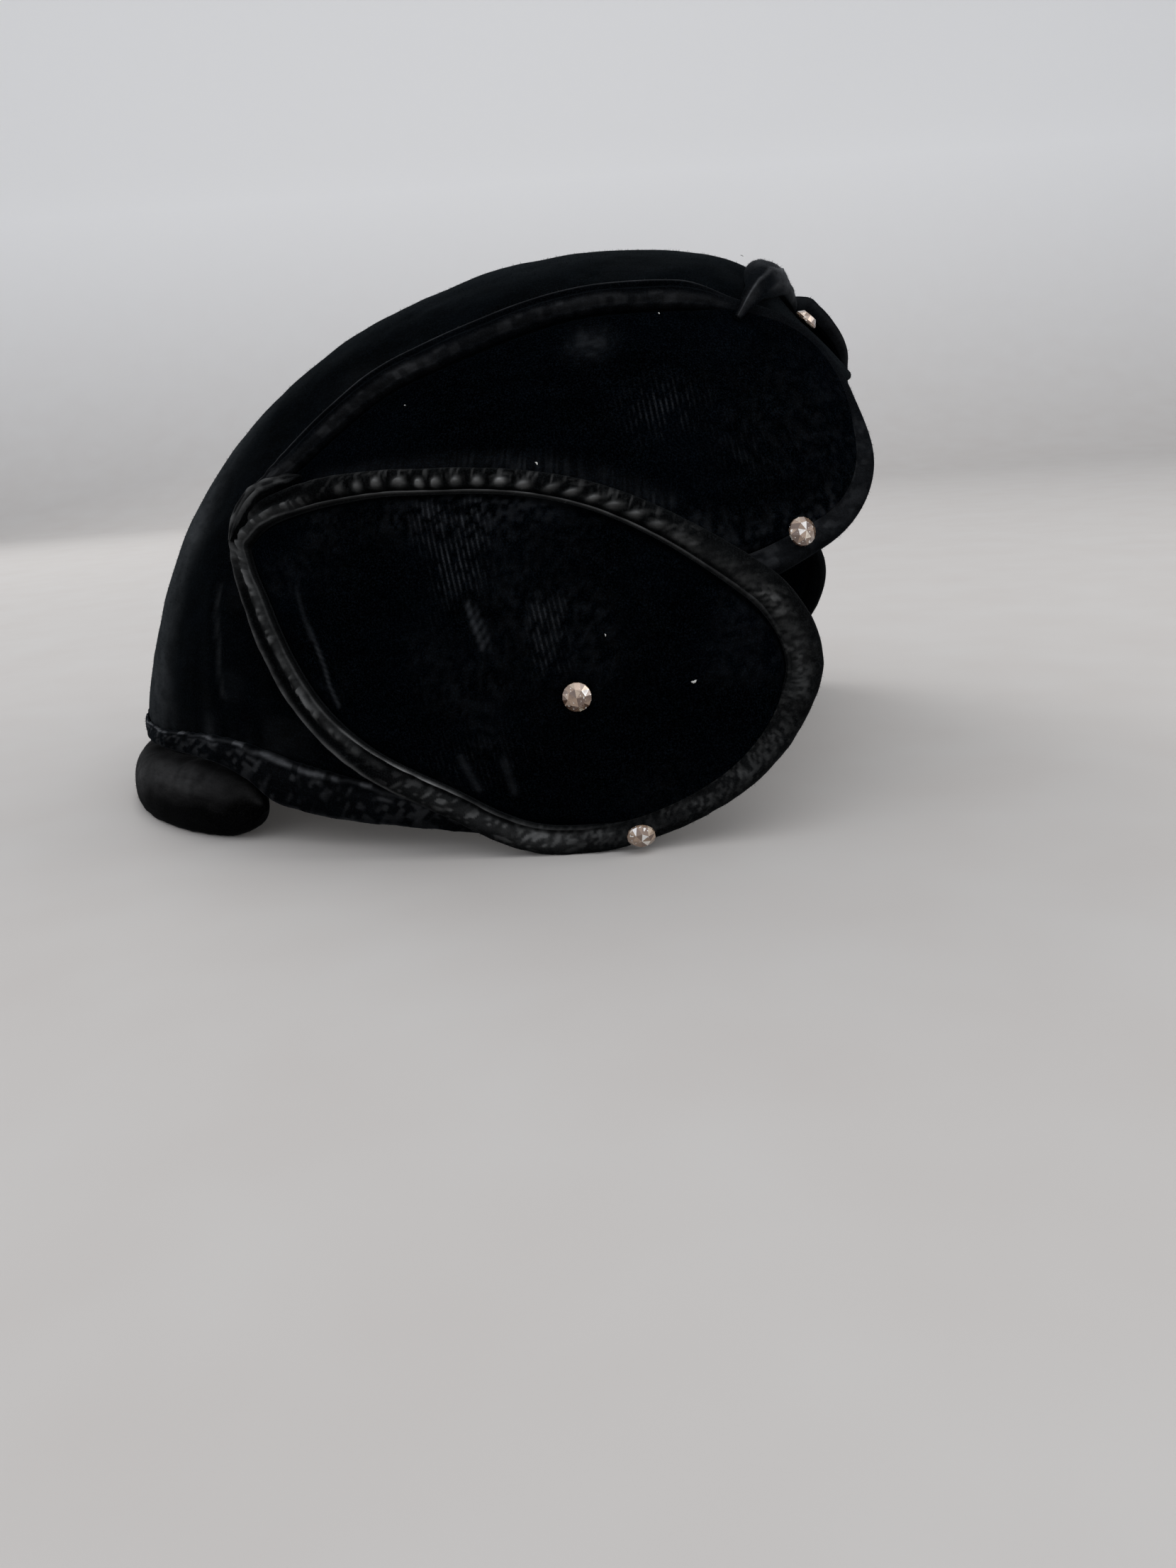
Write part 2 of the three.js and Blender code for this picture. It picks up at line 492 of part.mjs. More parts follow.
// rows turned back at the front, fading out to the rear tip
const setBack = (rows, degrees) => rows.map((r) => ({ az: r.az + degrees * (1 - r.az / rows[0].az), el: r.el }));

for (const [word, side, back, top, spineTo, steps] of [
  ["right", -1, 0, UPPER_LEAF_TOP, SPINE_TO, 3], ["left", 1, LEFT_SET_BACK, LEFT_UPPER_LEAF_TOP, LEFT_UPPER_SPINE_TO, 4],
]) {
  const upper = leafFrame(top, setBack(UPPER_LEAF_BOTTOM, back), side, spineTo);
  const upperWidth = (j) => lookup(UPPER_BINDING, "at", j / upper.count).width;
  // the panel stops at the binding's seam, and runs to the outline where it is covered
  const upperEdge = (j) => (j >= UPPER_BINDING_FROM - 1 && j <= UPPER_BINDING_TO + 1 ? upperWidth(j) + PIECE_GAP : 0);
  add(`petal_upper_${word}`, leafPanel(upper, upperEdge, UPPER_IN, UPPER_OUT, steps), VELVET);
  add(`binding_upper_${word}`, sweep(bindingSections(upper, upperWidth, UPPER_IN, UPPER_RIM, UPPER_BINDING_FROM, UPPER_BINDING_TO), false), BINDING);

  const lower = leafFrame(LOWER_LEAF_TOP, LOWER_LEAF_BOTTOM, side);
  const lowerWidth = (j) => lookup(LOWER_BINDING, "at", j / lower.count).width;
  add(`petal_lower_${word}`, leafPanel(lower, (j) => lowerWidth(j) + PIECE_GAP, LOWER_IN, LOWER_OUT), VELVET);
  add(`binding_lower_${word}`, restOnPlane(sweep(bindingSections(lower, lowerWidth, LOWER_IN, LOWER_RIM, 0, lower.count - 1), true)), BINDING);
}

for (const s of STONES) {
  if (s.pair) {
    add(`${s.name}_right`, stone(s.az, s.el, -1, s.lift), GLASS);
    add(`${s.name}_left`, stone(s.az, s.el, 1, s.lift), GLASS);
  } else {
    add(s.name, stone(s.az, s.el, -1, s.lift), GLASS);
  }
}

export default cap;
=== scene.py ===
# Looks of the small velvet cap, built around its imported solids. Metres in the row frame;
# the shape formulas and tables are the part's own, in millimetres from its form's centre.
import json
import math

import bpy  # noqa: E402
import numpy as np  # noqa: E402
from mathutils import Matrix, Vector  # noqa: E402

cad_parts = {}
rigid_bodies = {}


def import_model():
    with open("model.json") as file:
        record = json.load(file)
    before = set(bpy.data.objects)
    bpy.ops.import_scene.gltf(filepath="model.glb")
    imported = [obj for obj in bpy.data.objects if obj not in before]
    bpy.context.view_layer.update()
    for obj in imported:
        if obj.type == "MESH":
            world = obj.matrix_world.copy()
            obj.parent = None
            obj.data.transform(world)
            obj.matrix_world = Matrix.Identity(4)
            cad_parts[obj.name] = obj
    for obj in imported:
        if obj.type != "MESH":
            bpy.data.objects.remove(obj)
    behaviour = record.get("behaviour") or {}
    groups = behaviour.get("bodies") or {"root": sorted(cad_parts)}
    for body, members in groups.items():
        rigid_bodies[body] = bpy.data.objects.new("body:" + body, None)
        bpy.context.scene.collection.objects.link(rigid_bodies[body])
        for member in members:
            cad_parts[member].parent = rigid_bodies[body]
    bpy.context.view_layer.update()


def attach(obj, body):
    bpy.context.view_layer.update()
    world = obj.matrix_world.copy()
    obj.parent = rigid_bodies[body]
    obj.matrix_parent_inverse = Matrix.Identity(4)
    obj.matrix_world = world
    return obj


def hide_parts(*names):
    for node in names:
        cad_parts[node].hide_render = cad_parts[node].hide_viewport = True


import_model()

# ------------------------------------------------------------------ the form
HALF_WIDTH, SQUARENESS, FLOOR, CENTRE_X = 75.0, 2.2, -22.4, -10.320
CROWN_OUT = 2.6
BAND_IN, BAND_OUT = 3.0, 5.0
UPPER_IN, UPPER_OUT, UPPER_RIM = 3.1, 5.3, 7.2
LOWER_IN, LOWER_OUT, LOWER_RIM = 5.8, 8.0, 9.7
PROFILE = np.array([
    (-40, 101.3), (-15, 100.0), (10, 98.3), (35, 98.4), (60, 97.5), (85, 88.2), (110, 81.5), (135, 81.9),
    (160, 87.3), (185, 94.5), (210, 104.0), (235, 110.0), (262, 110.0), (290, 105.5)], float)
UPPER_LEAF_TOP = [
    (126.6, 30.0), (122.2, 36.0), (115.1, 43.9), (105.5, 50.6), (93.0, 54.1), (81.8, 55.9), (70.4, 56.8), (58.5, 56.4),
    (48.6, 54.6), (38.5, 52.3), (29.4, 48.9), (23.2, 45.9), (20.1, 42.2), (20.5, 38.2), (22.0, 34.4), (24.3, 29.6)]
LEFT_UPPER_LEAF_TOP = [
    (126.6, 30.0), (122.3, 36.0), (115.4, 43.9), (106.0, 50.6), (93.8, 54.1), (82.9, 55.9), (71.7, 56.8), (60.1, 56.4),
    (50.4, 54.6), (40.6, 52.3), (30.0, 51.0), (20.0, 49.9), (12.0, 49.0), (6.0, 48.4), (3.8, 46.8), (6.0, 44.0),
    (11.0, 41.0), (17.5, 38.2), (22.6, 34.2), (26.7, 29.6)]
UPPER_LEAF_BOTTOM = [
    (126.6, 30.0), (121.0, 26.6), (110.0, 23.6), (98.0, 22.0), (86.0, 20.4), (74.0, 18.4), (63.0, 16.6), (54.0, 15.6),
    (46.0, 16.0), (38.6, 18.0), (33.2, 19.8), (29.0, 22.6), (25.9, 26.2), (24.3, 29.6)]
LOWER_LEAF_TOP = [
    (124.2, 26.6), (121.0, 30.4), (114.7, 33.1), (108.1, 34.6), (99.0, 35.4), (89.0, 35.0), (79.2, 34.0), (70.7, 32.2),
    (64.5, 30.0), (58.6, 26.9), (52.9, 23.0), (48.3, 19.4), (44.6, 15.9), (42.2, 12.0), (41.0, 8.2), (40.9, 4.3)]
LOWER_LEAF_BOTTOM = [
    (124.2, 26.6), (122.2, 22.6), (119.4, 18.4), (116.7, 13.8), (113.4, 8.6), (109.4, 3.1), (104.7, -1.7), (100.0, -5.2),
    (94.4, -8.2), (88.8, -10.9), (83.4, -13.8), (77.6, -15.8), (71.4, -16.0), (65.2, -15.1), (59.5, -13.2),
    (54.8, -11.0), (50.3, -8.3), (46.1, -4.5), (43.0, -0.1), (40.9, 4.3)]
CROWN_EDGE = [
    (0, 38.8), (9, 38.6), (18, 38.2), (28, 37.6), (42, 33.5), (56, 26.0), (68, 15.0), (78, 2.0), (87, -8.6), (97, -10.6),
    (107, -8.4), (116, -6.8), (123, -5.0), (130, -4.0), (145, -3.7), (162, -3.9), (180, -3.9)]
HEM_BAND = [
    (85.0, -10.6, -14.4), (91.0, -9.6, -13.9), (98.0, -7.6, -13.2), (107.0, -5.2, -12.3), (114.4, -3.4, -10.9),
    (118.5, -2.2, -9.7), (122.9, -1.2, -6.6), (129.0, -0.7, -4.7), (136.0, -1.0, -4.2), (145.0, -1.7, -4.2),
    (160.0, -2.0, -4.4), (180.0, -2.0, -4.4)]
NAPE_ROLL = [
    (120.0, -9.5, -11.0, 4.2, 1.6), (121.6, -7.8, -12.0, 5.6, 0.4), (125.5, -6.4, -13.8, 7.0, -2.0),
    (131.0, -5.4, -14.6, 8.0, -4.0), (140.0, -5.2, -15.0, 8.0, -5.5), (152.0, -5.3, -15.2, 7.6, -6.0),
    (166.0, -5.4, -15.2, 7.5, -6.0), (180.0, -5.4, -15.2, 7.5, -6.0)]
UPPER_WIDTH = [(0.0, 2.6), (0.02, 2.8), (0.06, 4.8), (0.25, 5.8), (0.38, 5.4), (0.46, 4.6), (0.54, 4.4), (0.62, 5.6), (1.0, 5.0)]
LOWER_WIDTH = [
    (0.0, 4.6), (0.05, 4.9), (0.1, 4.7), (0.16, 4.1), (0.26, 3.9), (0.34, 4.6), (0.42, 6.0), (0.5, 6.6), (0.6, 5.2),
    (0.75, 5.4), (0.9, 5.0), (1.0, 4.6)]
FRONT_KNOT = [
    (-26.5, 50.4, 52.0, 9.2, 7.8), (-22.5, 49.8, 53.2, 9.7, 7.8), (-17.5, 49.6, 54.6, 9.5, 7.7),
    (-10.5, 50.2, 55.6, 8.4, 7.5), (-6.0, 50.9, 56.0, 7.3, 3.8), (0.0, 51.4, 56.2, 6.8, 3.2)]
STONES = [
    ("stone_front", 1.4, 47.5, -1, CROWN_OUT - 2.0 + 1.0),
    ("stone_upper_right", 41.2, 20.5, -1, UPPER_RIM + 0.35), ("stone_upper_left", 41.2, 20.5, 1, UPPER_RIM + 0.35),
    ("stone_middle_right", 70.4, 5.7, -1, LOWER_OUT + 0.65), ("stone_middle_left", 70.4, 5.7, 1, LOWER_OUT + 0.4),
    ("stone_edge_right", 63.6, -12.7, -1, LOWER_RIM + 0.35), ("stone_edge_left", 63.6, -12.7, 1, LOWER_RIM + 0.35)]
STONE_RADIUS, STONE_HEIGHT = 2.7, 1.9

_ax = np.concatenate([[PROFILE[-1, 0] - 360], PROFILE[:, 0], PROFILE[:2, 0] + 360])
_rx = np.concatenate([[PROFILE[-1, 1]], PROFILE[:, 1], PROFILE[:2, 1]])
_mx = (_rx[2:] - _rx[:-2]) / (_ax[2:] - _ax[:-2])


def profile_radius(angle):
    """Radius of the form in its middle plane, by a smooth closed curve through the table."""
    t = (angle - PROFILE[0, 0]) % 360 + PROFILE[0, 0]
    k = np.clip(np.searchsorted(_ax, t, side="right") - 1, 1, len(PROFILE))
    h = _ax[k + 1] - _ax[k]
    s = (t - _ax[k]) / h
    return ((2 * s**3 - 3 * s**2 + 1) * _rx[k] + (s**3 - 2 * s**2 + s) * h * _mx[k - 1]
            + (-2 * s**3 + 3 * s**2) * _rx[k + 1] + (s**3 - s**2) * h * _mx[k])


def form_level(v):
    p = profile_radius(np.degrees(np.arctan2(v[..., 2], v[..., 0])))
    rho = np.hypot(v[..., 0], v[..., 2])
    return ((rho / p) ** SQUARENESS + (np.abs(v[..., 1]) / HALF_WIDTH) ** SQUARENESS) ** (1 / SQUARENESS)


def form_normal(v):
    e, g = 0.05, np.empty_like(v)
    for axis in range(3):
        step = np.zeros(3)
        step[axis] = e
        g[..., axis] = form_level(v + step) - form_level(v - step)
    return g / np.linalg.norm(g, axis=-1, keepdims=True)


def on_form(d, lift):
    """Points at a lift outside the form in the directions d, in form millimetres."""
    v = d / form_level(d)[..., None]
    return v + form_normal(v) * np.broadcast_to(np.asarray(lift, float), v.shape[:-1])[..., None]


def direction(az, el, side=-1):
    az, el = np.radians(np.asarray(az, float)), np.radians(np.asarray(el, float))
    az, el = np.broadcast_arrays(az, el)
    return np.stack([np.cos(el) * np.cos(az), side * np.cos(el) * np.sin(az), np.sin(el)], -1)


def az_el(d):
    return (np.degrees(np.arctan2(np.abs(d[..., 1]), d[..., 0])),
            np.degrees(np.arctan2(d[..., 2], np.hypot(d[..., 0], d[..., 1]))))


def to_row(p):
    return (p - np.array([CENTRE_X, 0.0, FLOOR])) * 0.001


def lookup(rows, x):
    """Columns of a table at x, by the same smooth interpolation as the solids use."""
    t = np.array(rows, float)
    x = np.clip(np.asarray(x, float), t[0, 0], t[-1, 0])
    last = len(t) - 1
    k = np.clip(np.searchsorted(t[:, 0], x, side="right") - 1, 0, last - 1)
    p0, p1, p2, p3 = t[np.maximum(k - 1, 0)], t[k], t[k + 1], t[np.minimum(k + 2, last)]
    h = (p2[..., 0] - p1[..., 0])[..., None]
    s = (x - p1[..., 0])[..., None] / h
    m1 = (p2 - p0)[..., 1:] / (p2 - p0)[..., :1]
    m2 = (p3 - p1)[..., 1:] / (p3 - p1)[..., :1]
    out = ((2 * s**3 - 3 * s**2 + 1) * p1[..., 1:] + (s**3 - 2 * s**2 + s) * h * m1
           + (-2 * s**3 + 3 * s**2) * p2[..., 1:] + (s**3 - s**2) * h * m2)
    return out[..., 0] if out.shape[-1] == 1 else out


def ramp(rows, x):
    t = np.array(rows, float)
    order = np.argsort(t[:, 0])
    return np.interp(x, t[order, 0], t[order, 1])


def smooth(a, b, x):
    t = np.clip((x - a) / (b - a), 0, 1)
    return t * t * (3 - 2 * t)


# ------------------------------------------------------------------ seeded noise
_lattice = {}


def noise(p, seed):
    """Smooth value noise in -1 to 1 at points p (..., 1 to 3 columns), with a cell size of 1."""
    p = np.atleast_2d(p) if np.ndim(p) < 2 else p
    dims = p.shape[-1]
    if (seed, dims) not in _lattice:
        _lattice[seed, dims] = np.random.default_rng(seed).uniform(-1, 1, (32,) * dims)
    grid = _lattice[seed, dims]
    cell = np.floor(p).astype(int)
    f = p - cell
    f = f * f * f * (f * (f * 6 - 15) + 10)
    total = 0.0
    for corner in range(2**dims):
        bits = [(corner >> i) & 1 for i in range(dims)]
        weight = np.ones(p.shape[:-1])
        for i, bit in enumerate(bits):
            weight = weight * (f[..., i] if bit else 1 - f[..., i])
        total = total + weight * grid[tuple((cell[..., i] + bits[i]) % 32 for i in range(dims))]
    return total


def noise_line(x, seed):
    return noise(np.asarray(x, float)[..., None], seed)


# ------------------------------------------------------------------ meshes
def grid_quads(rows, cols, wrap_rows=False, wrap_cols=False):
    r = np.arange(rows if wrap_rows else rows - 1)
    c = np.arange(cols if wrap_cols else cols - 1)
    r, c = np.meshgrid(r, c, indexing="ij")
    r2, c2 = (r + 1) % rows, (c + 1) % cols
    return np.stack([r * cols + c, r * cols + c2, r2 * cols + c2, r2 * cols + c], -1).reshape(-1, 4)


def make(name, points, faces, marks=None, weld=True, outward=None):
    """A mesh object in the row frame from points in form millimetres, with float marks per point."""
    points = np.asarray(points, float).reshape(-1, 3)
    faces = np.asarray(faces, int)
    marks = {k: np.asarray(v, float).reshape(-1) for k, v in (marks or {}).items()}
    if weld:
        key = np.round(points / 0.004).astype(np.int64)
        _, first, inverse = np.unique(key, axis=0, return_index=True, return_inverse=True)
        inverse = inverse.reshape(-1)
        points, marks = points[first], {k: v[first] for k, v in marks.items()}
        faces = inverse[faces]
    polys = []
    for f in faces.tolist():
        g = [v for i, v in enumerate(f) if v != f[i - 1]]
        if len(set(g)) == len(g) and len(g) > 2:
            polys.append(g)
    row = to_row(points)
    row[:, 2] = np.maximum(row[:, 2], 0.00004)
    mesh = bpy.data.meshes.new(name)
    mesh.from_pydata(row.tolist(), [], polys)
    mesh.validate()
    if outward is not None:
        co = np.empty(len(mesh.vertices) * 3)
        mesh.vertices.foreach_get("co", co)
        normals = np.empty(len(mesh.polygons) * 3)
        centres = np.empty(len(mesh.polygons) * 3)
        mesh.polygons.foreach_get("normal", normals)
        mesh.polygons.foreach_get("center", centres)
        away = (centres.reshape(-1, 3) - np.asarray(outward)) * normals.reshape(-1, 3)
        if away.sum() < 0:
            mesh.flip_normals()
    for k, v in marks.items():
        if len(v) == len(mesh.vertices):
            mesh.attributes.new(k, "FLOAT", "POINT").data.foreach_set("value", v.astype(np.float32))
    mesh.polygons.foreach_set("use_smooth", np.ones(len(mesh.polygons), bool))
    obj = bpy.data.objects.new(name, mesh)
    bpy.context.scene.collection.objects.link(obj)
    return obj


def close_normals(obj):
    """Faces of a closed mesh made to look outwards."""
    import bmesh

    bm = bmesh.new()
    bm.from_mesh(obj.data)
    bmesh.ops.recalc_face_normals(bm, faces=bm.faces)
    bm.to_mesh(obj.data)
    bm.free()
    obj.data.polygons.foreach_set("use_smooth", np.ones(len(obj.data.polygons), bool))
    return obj


def place_piece(obj, material, slot, *nodes):
    obj.data.materials.clear()
    obj.data.materials.append(material)
    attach(obj, "root")
    if nodes:
        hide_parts(*nodes)
    return obj


# ------------------------------------------------------------------ leaves
def catmull(rows, side, samples=200):
    """Dense points of the centripetal curve through directions 100 mm from the centre."""
    pts = direction([r[0] for r in rows], [r[1] for r in rows], side) * 100
    p = np.vstack([2 * pts[0] - pts[1], pts, 2 * pts[-1] - pts[-2]])
    out = []
    t = np.linspace(0, 1, samples, endpoint=False)[:, None]
    for i in range(1, len(p) - 2):
        p0, p1, p2, p3 = p[i - 1], p[i], p[i + 1], p[i + 2]
        d0, d1, d2 = (np.sum((b - a) ** 2) ** 0.25 for a, b in ((p0, p1), (p1, p2), (p2, p3)))
        t1 = ((p1 - p0) / d0 - (p2 - p0) / (d0 + d1) + (p2 - p1) / d1) * d1
        t2 = ((p2 - p1) / d1 - (p3 - p1) / (d1 + d2) + (p3 - p2) / d2) * d1
        out.append(p1 + t1 * t + (-3 * p1 + 3 * p2 - 2 * t1 - t2) * t**2 + (2 * p1 - 2 * p2 + t1 + t2) * t**3)
    out.append(p[-2][None])
    return np.vstack(out)


class Leaf:
    """Outline of a leaf round from its rear tip, with the matching points of its middle line."""

    def __init__(self, top, bottom, side, count, spine_from=0.16, spine_to=0.84, soften=2.2, front=26, rear=6):
        self.count, self.side = count, side
        half = count // 2
        f = np.where(np.arange(count) <= half, np.arange(count) / half, (count - np.arange(count)) / half)
        curves = []
        for rows in (top, bottom):
            c = catmull(rows, side)
            s = np.concatenate([[0], np.cumsum(np.linalg.norm(np.diff(c, axis=0), axis=1))])
            even = np.linspace(0, s[-1], 1200)
            c = np.stack([np.interp(even, s, c[:, i]) for i in range(3)], -1)
            c = self._soften(c, soften, s[-1] / 1199)
            curves.append(c)
        pick = lambda c, g: self._unit(np.stack([np.interp(g, np.linspace(0, 1, len(c)), c[:, i]) for i in range(3)], -1))  # noqa: E731
        on_top = (np.arange(count) <= half)[:, None]
        self.outline = np.where(on_top, pick(curves[0], f), pick(curves[1], f))
        g = spine_from + (spine_to - spine_from) * f
        self.spine = self._unit(pick(curves[0], g) + pick(curves[1], g))
        # the front is one round curve, the rear tip only loses its hard point
        far = np.abs(np.arange(count) - half) * (2.0 / count)
        for reach, strength, centre in ((front, 1.0, far), (rear, 1.0, 1 - far)):
            m = int(reach * count / 960)
            kernel = np.exp(-0.5 * (np.arange(-3 * m, 3 * m + 1) / m) ** 2)
            kernel /= kernel.sum()
            calm = self._calm(self.outline, kernel, 3 * m)
            calm = 2 * calm - self._calm(calm, kernel, 3 * m)  # keeps its size
            near = (strength * (1 - smooth(3.2 * m / count, 8.0 * m / count, centre)))[:, None]
            self.outline = self._unit(self.outline * (1 - near) + calm * near)
        base = on_form(self.outline, 0)
        self.length = np.linalg.norm(base - on_form(self.spine, 0), axis=-1)
        step = np.linalg.norm(np.roll(base, -1, 0) - base, axis=-1)
        self.run = np.concatenate([[0], np.cumsum(step)[:-1]])
        self.total = step.sum()
        self.az, self.el = az_el(self.outline)
        self.part = np.arange(count) / count
        # how square the lines to the middle meet the outline, to keep widths true
        tangent = np.roll(base, -1, 0) - np.roll(base, 1, 0)
        tangent /= np.linalg.norm(tangent, axis=-1, keepdims=True)
        inward = on_form(self.spine, 0) - base
        inward /= np.linalg.norm(inward, axis=-1, keepdims=True)
        self.square = np.sqrt(np.clip(1 - np.sum(tangent * inward, -1) ** 2, 0.25, 1))

    @staticmethod
    def _calm(curve, kernel, reach):
        wrapped = np.concatenate([curve[-reach:], curve, curve[:reach]])
        return np.stack([np.convolve(wrapped[:, i], kernel, mode="valid") for i in range(3)], -1)

    @staticmethod
    def _unit(v):
        return v / np.linalg.norm(v, axis=-1, keepdims=True)

    @staticmethod
    def _soften(c, sigma, pitch):
        n = int(3 * sigma / pitch) + 1
        k = np.exp(-0.5 * (np.arange(-n, n + 1) * pitch / sigma) ** 2)
        k /= k.sum()
        head, tail = 2 * c[0] - c[1 : n + 1][::-1], 2 * c[-1] - c[-n - 1 : -1][::-1]
        padded = np.vstack([head, c, tail])
        out = np.stack([np.convolve(padded[:, i], k, mode="valid") for i in range(3)], -1)
        out[0], out[-1] = c[0], c[-1]
        return out

    def at(self, inward, lift):
        """Points a distance in from the outline (count, m) at a lift (count, m)."""
        k = (1 - inward / self.length[:, None])[..., None]
        d = self._unit(self.spine[:, None] * (1 - k) + self.outline[:, None] * k)
        return on_form(d, lift)


def shut_ring(leaf, points, marks, name):
    """A binding: closed sections round a closed outline."""
    n, m = points.shape[:2]
    faces = grid_quads(n, m, wrap_rows=True, wrap_cols=True)
    return close_normals(make(name, points, faces, marks, weld=False))


# ------------------------------------------------------------------ materials
def node_tree(name):
    material = bpy.data.materials.new(name)
    material.use_nodes = True
    tree = material.node_tree
    return material, tree, tree.nodes["Principled BSDF"]


def link(tree, a, b):
    tree.links.new(a, b)


def attribute(tree, name):
    n = tree.nodes.new("ShaderNodeAttribute")
    n.attribute_name = name
    return n.outputs["Fac"]


def arith(tree, op, a, b=None, clamp=False):
    n = tree.nodes.new("ShaderNodeMath")
    n.operation = op
    n.use_clamp = clamp
    for i, v in enumerate((a, b)):
        if v is None:
            continue
        if hasattr(v, "links"):
            link(tree, v, n.inputs[i])
        else:
            n.inputs[i].default_value = v
    return n.outputs[0]


def ramp_value(tree, value, low, high, to_low=0.0, to_high=1.0):
    n = tree.nodes.new("ShaderNodeMapRange")
    n.clamp = True
    link(tree, value, n.inputs["Value"])
    for k, v in (("From Min", low), ("From Max", high), ("To Min", to_low), ("To Max", to_high)):
        n.inputs[k].default_value = v
    return n.outputs["Result"]


def texture_noise(tree, scale, detail=2.0, rough=0.5, stretch=None):
    coords = tree.nodes.new("ShaderNodeTexCoord")
    source = coords.outputs["Object"]
    if stretch:
        mapping = tree.nodes.new("ShaderNodeMapping")
        mapping.inputs["Rotation"].default_value = stretch[0]
        mapping.inputs["Scale"].default_value = stretch[1]
        link(tree, source, mapping.inputs["Vector"])
        source = mapping.outputs["Vector"]
    n = tree.nodes.new("ShaderNodeTexNoise")
    n.inputs["Scale"].default_value = scale
    n.inputs["Detail"].default_value = detail
    n.inputs["Roughness"].default_value = rough
    link(tree, source, n.inputs["Vector"])
    return n.outputs["Fac"]


def mix_colour(tree, factor, a, b):
    n = tree.nodes.new("ShaderNodeMix")
    n.data_type = "RGBA"
    link(tree, factor, n.inputs["Factor"])
    for i, v in ((6, a), (7, b)):
        if hasattr(v, "links"):
            link(tree, v, n.inputs[i])
        else:
            n.inputs[i].default_value = (*v, 1.0)
    return n.outputs[2]


def velvet(name, deep, nap, specks, crush_and_light_colour, sheen, sheen_rough, sheen_tint, gloss=0.02, rough=0.85):
    """Pile fabric: dark, with cloudy nap, pressed lighter patches, pressed ribs, pile grain and specks of lint; the
    pressed mark also carries painted highlights and painted sheen in the pressed pile's colour.
    """
    material, tree, bsdf = node_tree(name)
    cloud = texture_noise(tree, 55.0, 3.0, 0.6, ((0.3, 0.2, 0.1), (1.0, 1.0, 1.6)))
    grain = texture_noise(tree, 3000.0, 2.0, 0.75)
    streak = texture_noise(tree, 420.0, 3.0, 0.65, ((0.0, 0.0, 0.0), (0.35, 0.35, 1.0)))
    colour = mix_colour(tree, ramp_value(tree, cloud, 0.42, 0.72), deep, nap)
    grainy = arith(tree, "MULTIPLY", ramp_value(tree, grain, 0.46, 0.70), ramp_value(tree, streak, 0.30, 0.62, 0.5, 1.0))
    colour = mix_colour(tree, arith(tree, "MULTIPLY", grainy, 0.8), colour, specks)
    # this mark lightens the pile towards the pressed colour: real pressed pile in places, painted highlights and
    # painted sheen in others
    crush = attribute(tree, "crush")
    broken = arith(tree, "MULTIPLY", crush, ramp_value(tree, streak, 0.3, 0.62, 0.45, 1.0), clamp=True)
    colour = mix_colour(tree, broken, colour, crush_and_light_colour)
    coords = tree.nodes.new("ShaderNodeTexCoord")
    across = tree.nodes.new("ShaderNodeVectorMath")
    across.operation = "DOT_PRODUCT"
    across.inputs[1].default_value = (0.98, 0.10, 0.18)
    link(tree, coords.outputs["Object"], across.inputs[0])
    wave = arith(tree, "SINE", arith(tree, "MULTIPLY", across.outputs["Value"], 2 * math.pi / 0.00100))
    rib = arith(tree, "MULTIPLY", attribute(tree, "rib"), arith(tree, "MULTIPLY", ramp_value(tree, wave, -0.2, 1.0), ramp_value(tree, grain, 0.35, 0.6, 0.35, 1.0)))
    colour = mix_colour(tree, arith(tree, "MULTIPLY", rib, 0.55), colour, crush_and_light_colour)
    speck = ramp_value(tree, attribute(tree, "lint"), 0.25, 0.8)
    colour = mix_colour(tree, speck, colour, (0.42, 0.42, 0.40))
    link(tree, colour, bsdf.inputs["Base Color"])
    link(tree, ramp_value(tree, crush, 0.0, 1.0, rough, rough - 0.15), bsdf.inputs["Roughness"])
    height = arith(tree, "ADD", arith(tree, "MULTIPLY", grain, 0.6), arith(tree, "ADD", arith(tree, "MULTIPLY", streak, 0.8), arith(tree, "MULTIPLY", rib, 0.7)))
    bump = tree.nodes.new("ShaderNodeBump")
    bump.inputs["Strength"].default_value = 0.55
    bump.inputs["Distance"].default_value = 0.00022
    link(tree, height, bump.inputs["Height"])
    link(tree, bump.outputs["Normal"], bsdf.inputs["Normal"])
    bsdf.inputs["Specular IOR Level"].default_value = gloss
    bsdf.inputs["Sheen Weight"].default_value = sheen
    bsdf.inputs["Sheen Roughness"].default_value = sheen_rough
    bsdf.inputs["Sheen Tint"].default_value = (*sheen_tint, 1.0)
    return material


def lining_cloth():
    material, tree, bsdf = node_tree("lining_weave")
    warp = texture_noise(tree, 900.0, 2.0, 0.6, ((0, 0, 0), (1.0, 1.0, 0.12)))
    weft = texture_noise(tree, 900.0, 2.0, 0.6, ((0, 0, 0), (0.12, 0.12, 1.0)))
    weave = arith(tree, "MULTIPLY", ramp_value(tree, warp, 0.3, 0.7), ramp_value(tree, weft, 0.3, 0.7))
    link(tree, mix_colour(tree, weave, (0.012, 0.012, 0.014), (0.030, 0.030, 0.034)), bsdf.inputs["Base Color"])
    link(tree, ramp_value(tree, weave, 0.0, 1.0, 0.62, 0.45), bsdf.inputs["Roughness"])
    bump = tree.nodes.new("ShaderNodeBump")
    bump.inputs["Strength"].default_value = 0.4
    bump.inputs["Distance"].default_value = 0.00015
    link(tree, weave, bump.inputs["Height"])
    link(tree, bump.outputs["Normal"], bsdf.inputs["Normal"])
    bsdf.inputs["Specular IOR Level"].default_value = 0.3
    return material


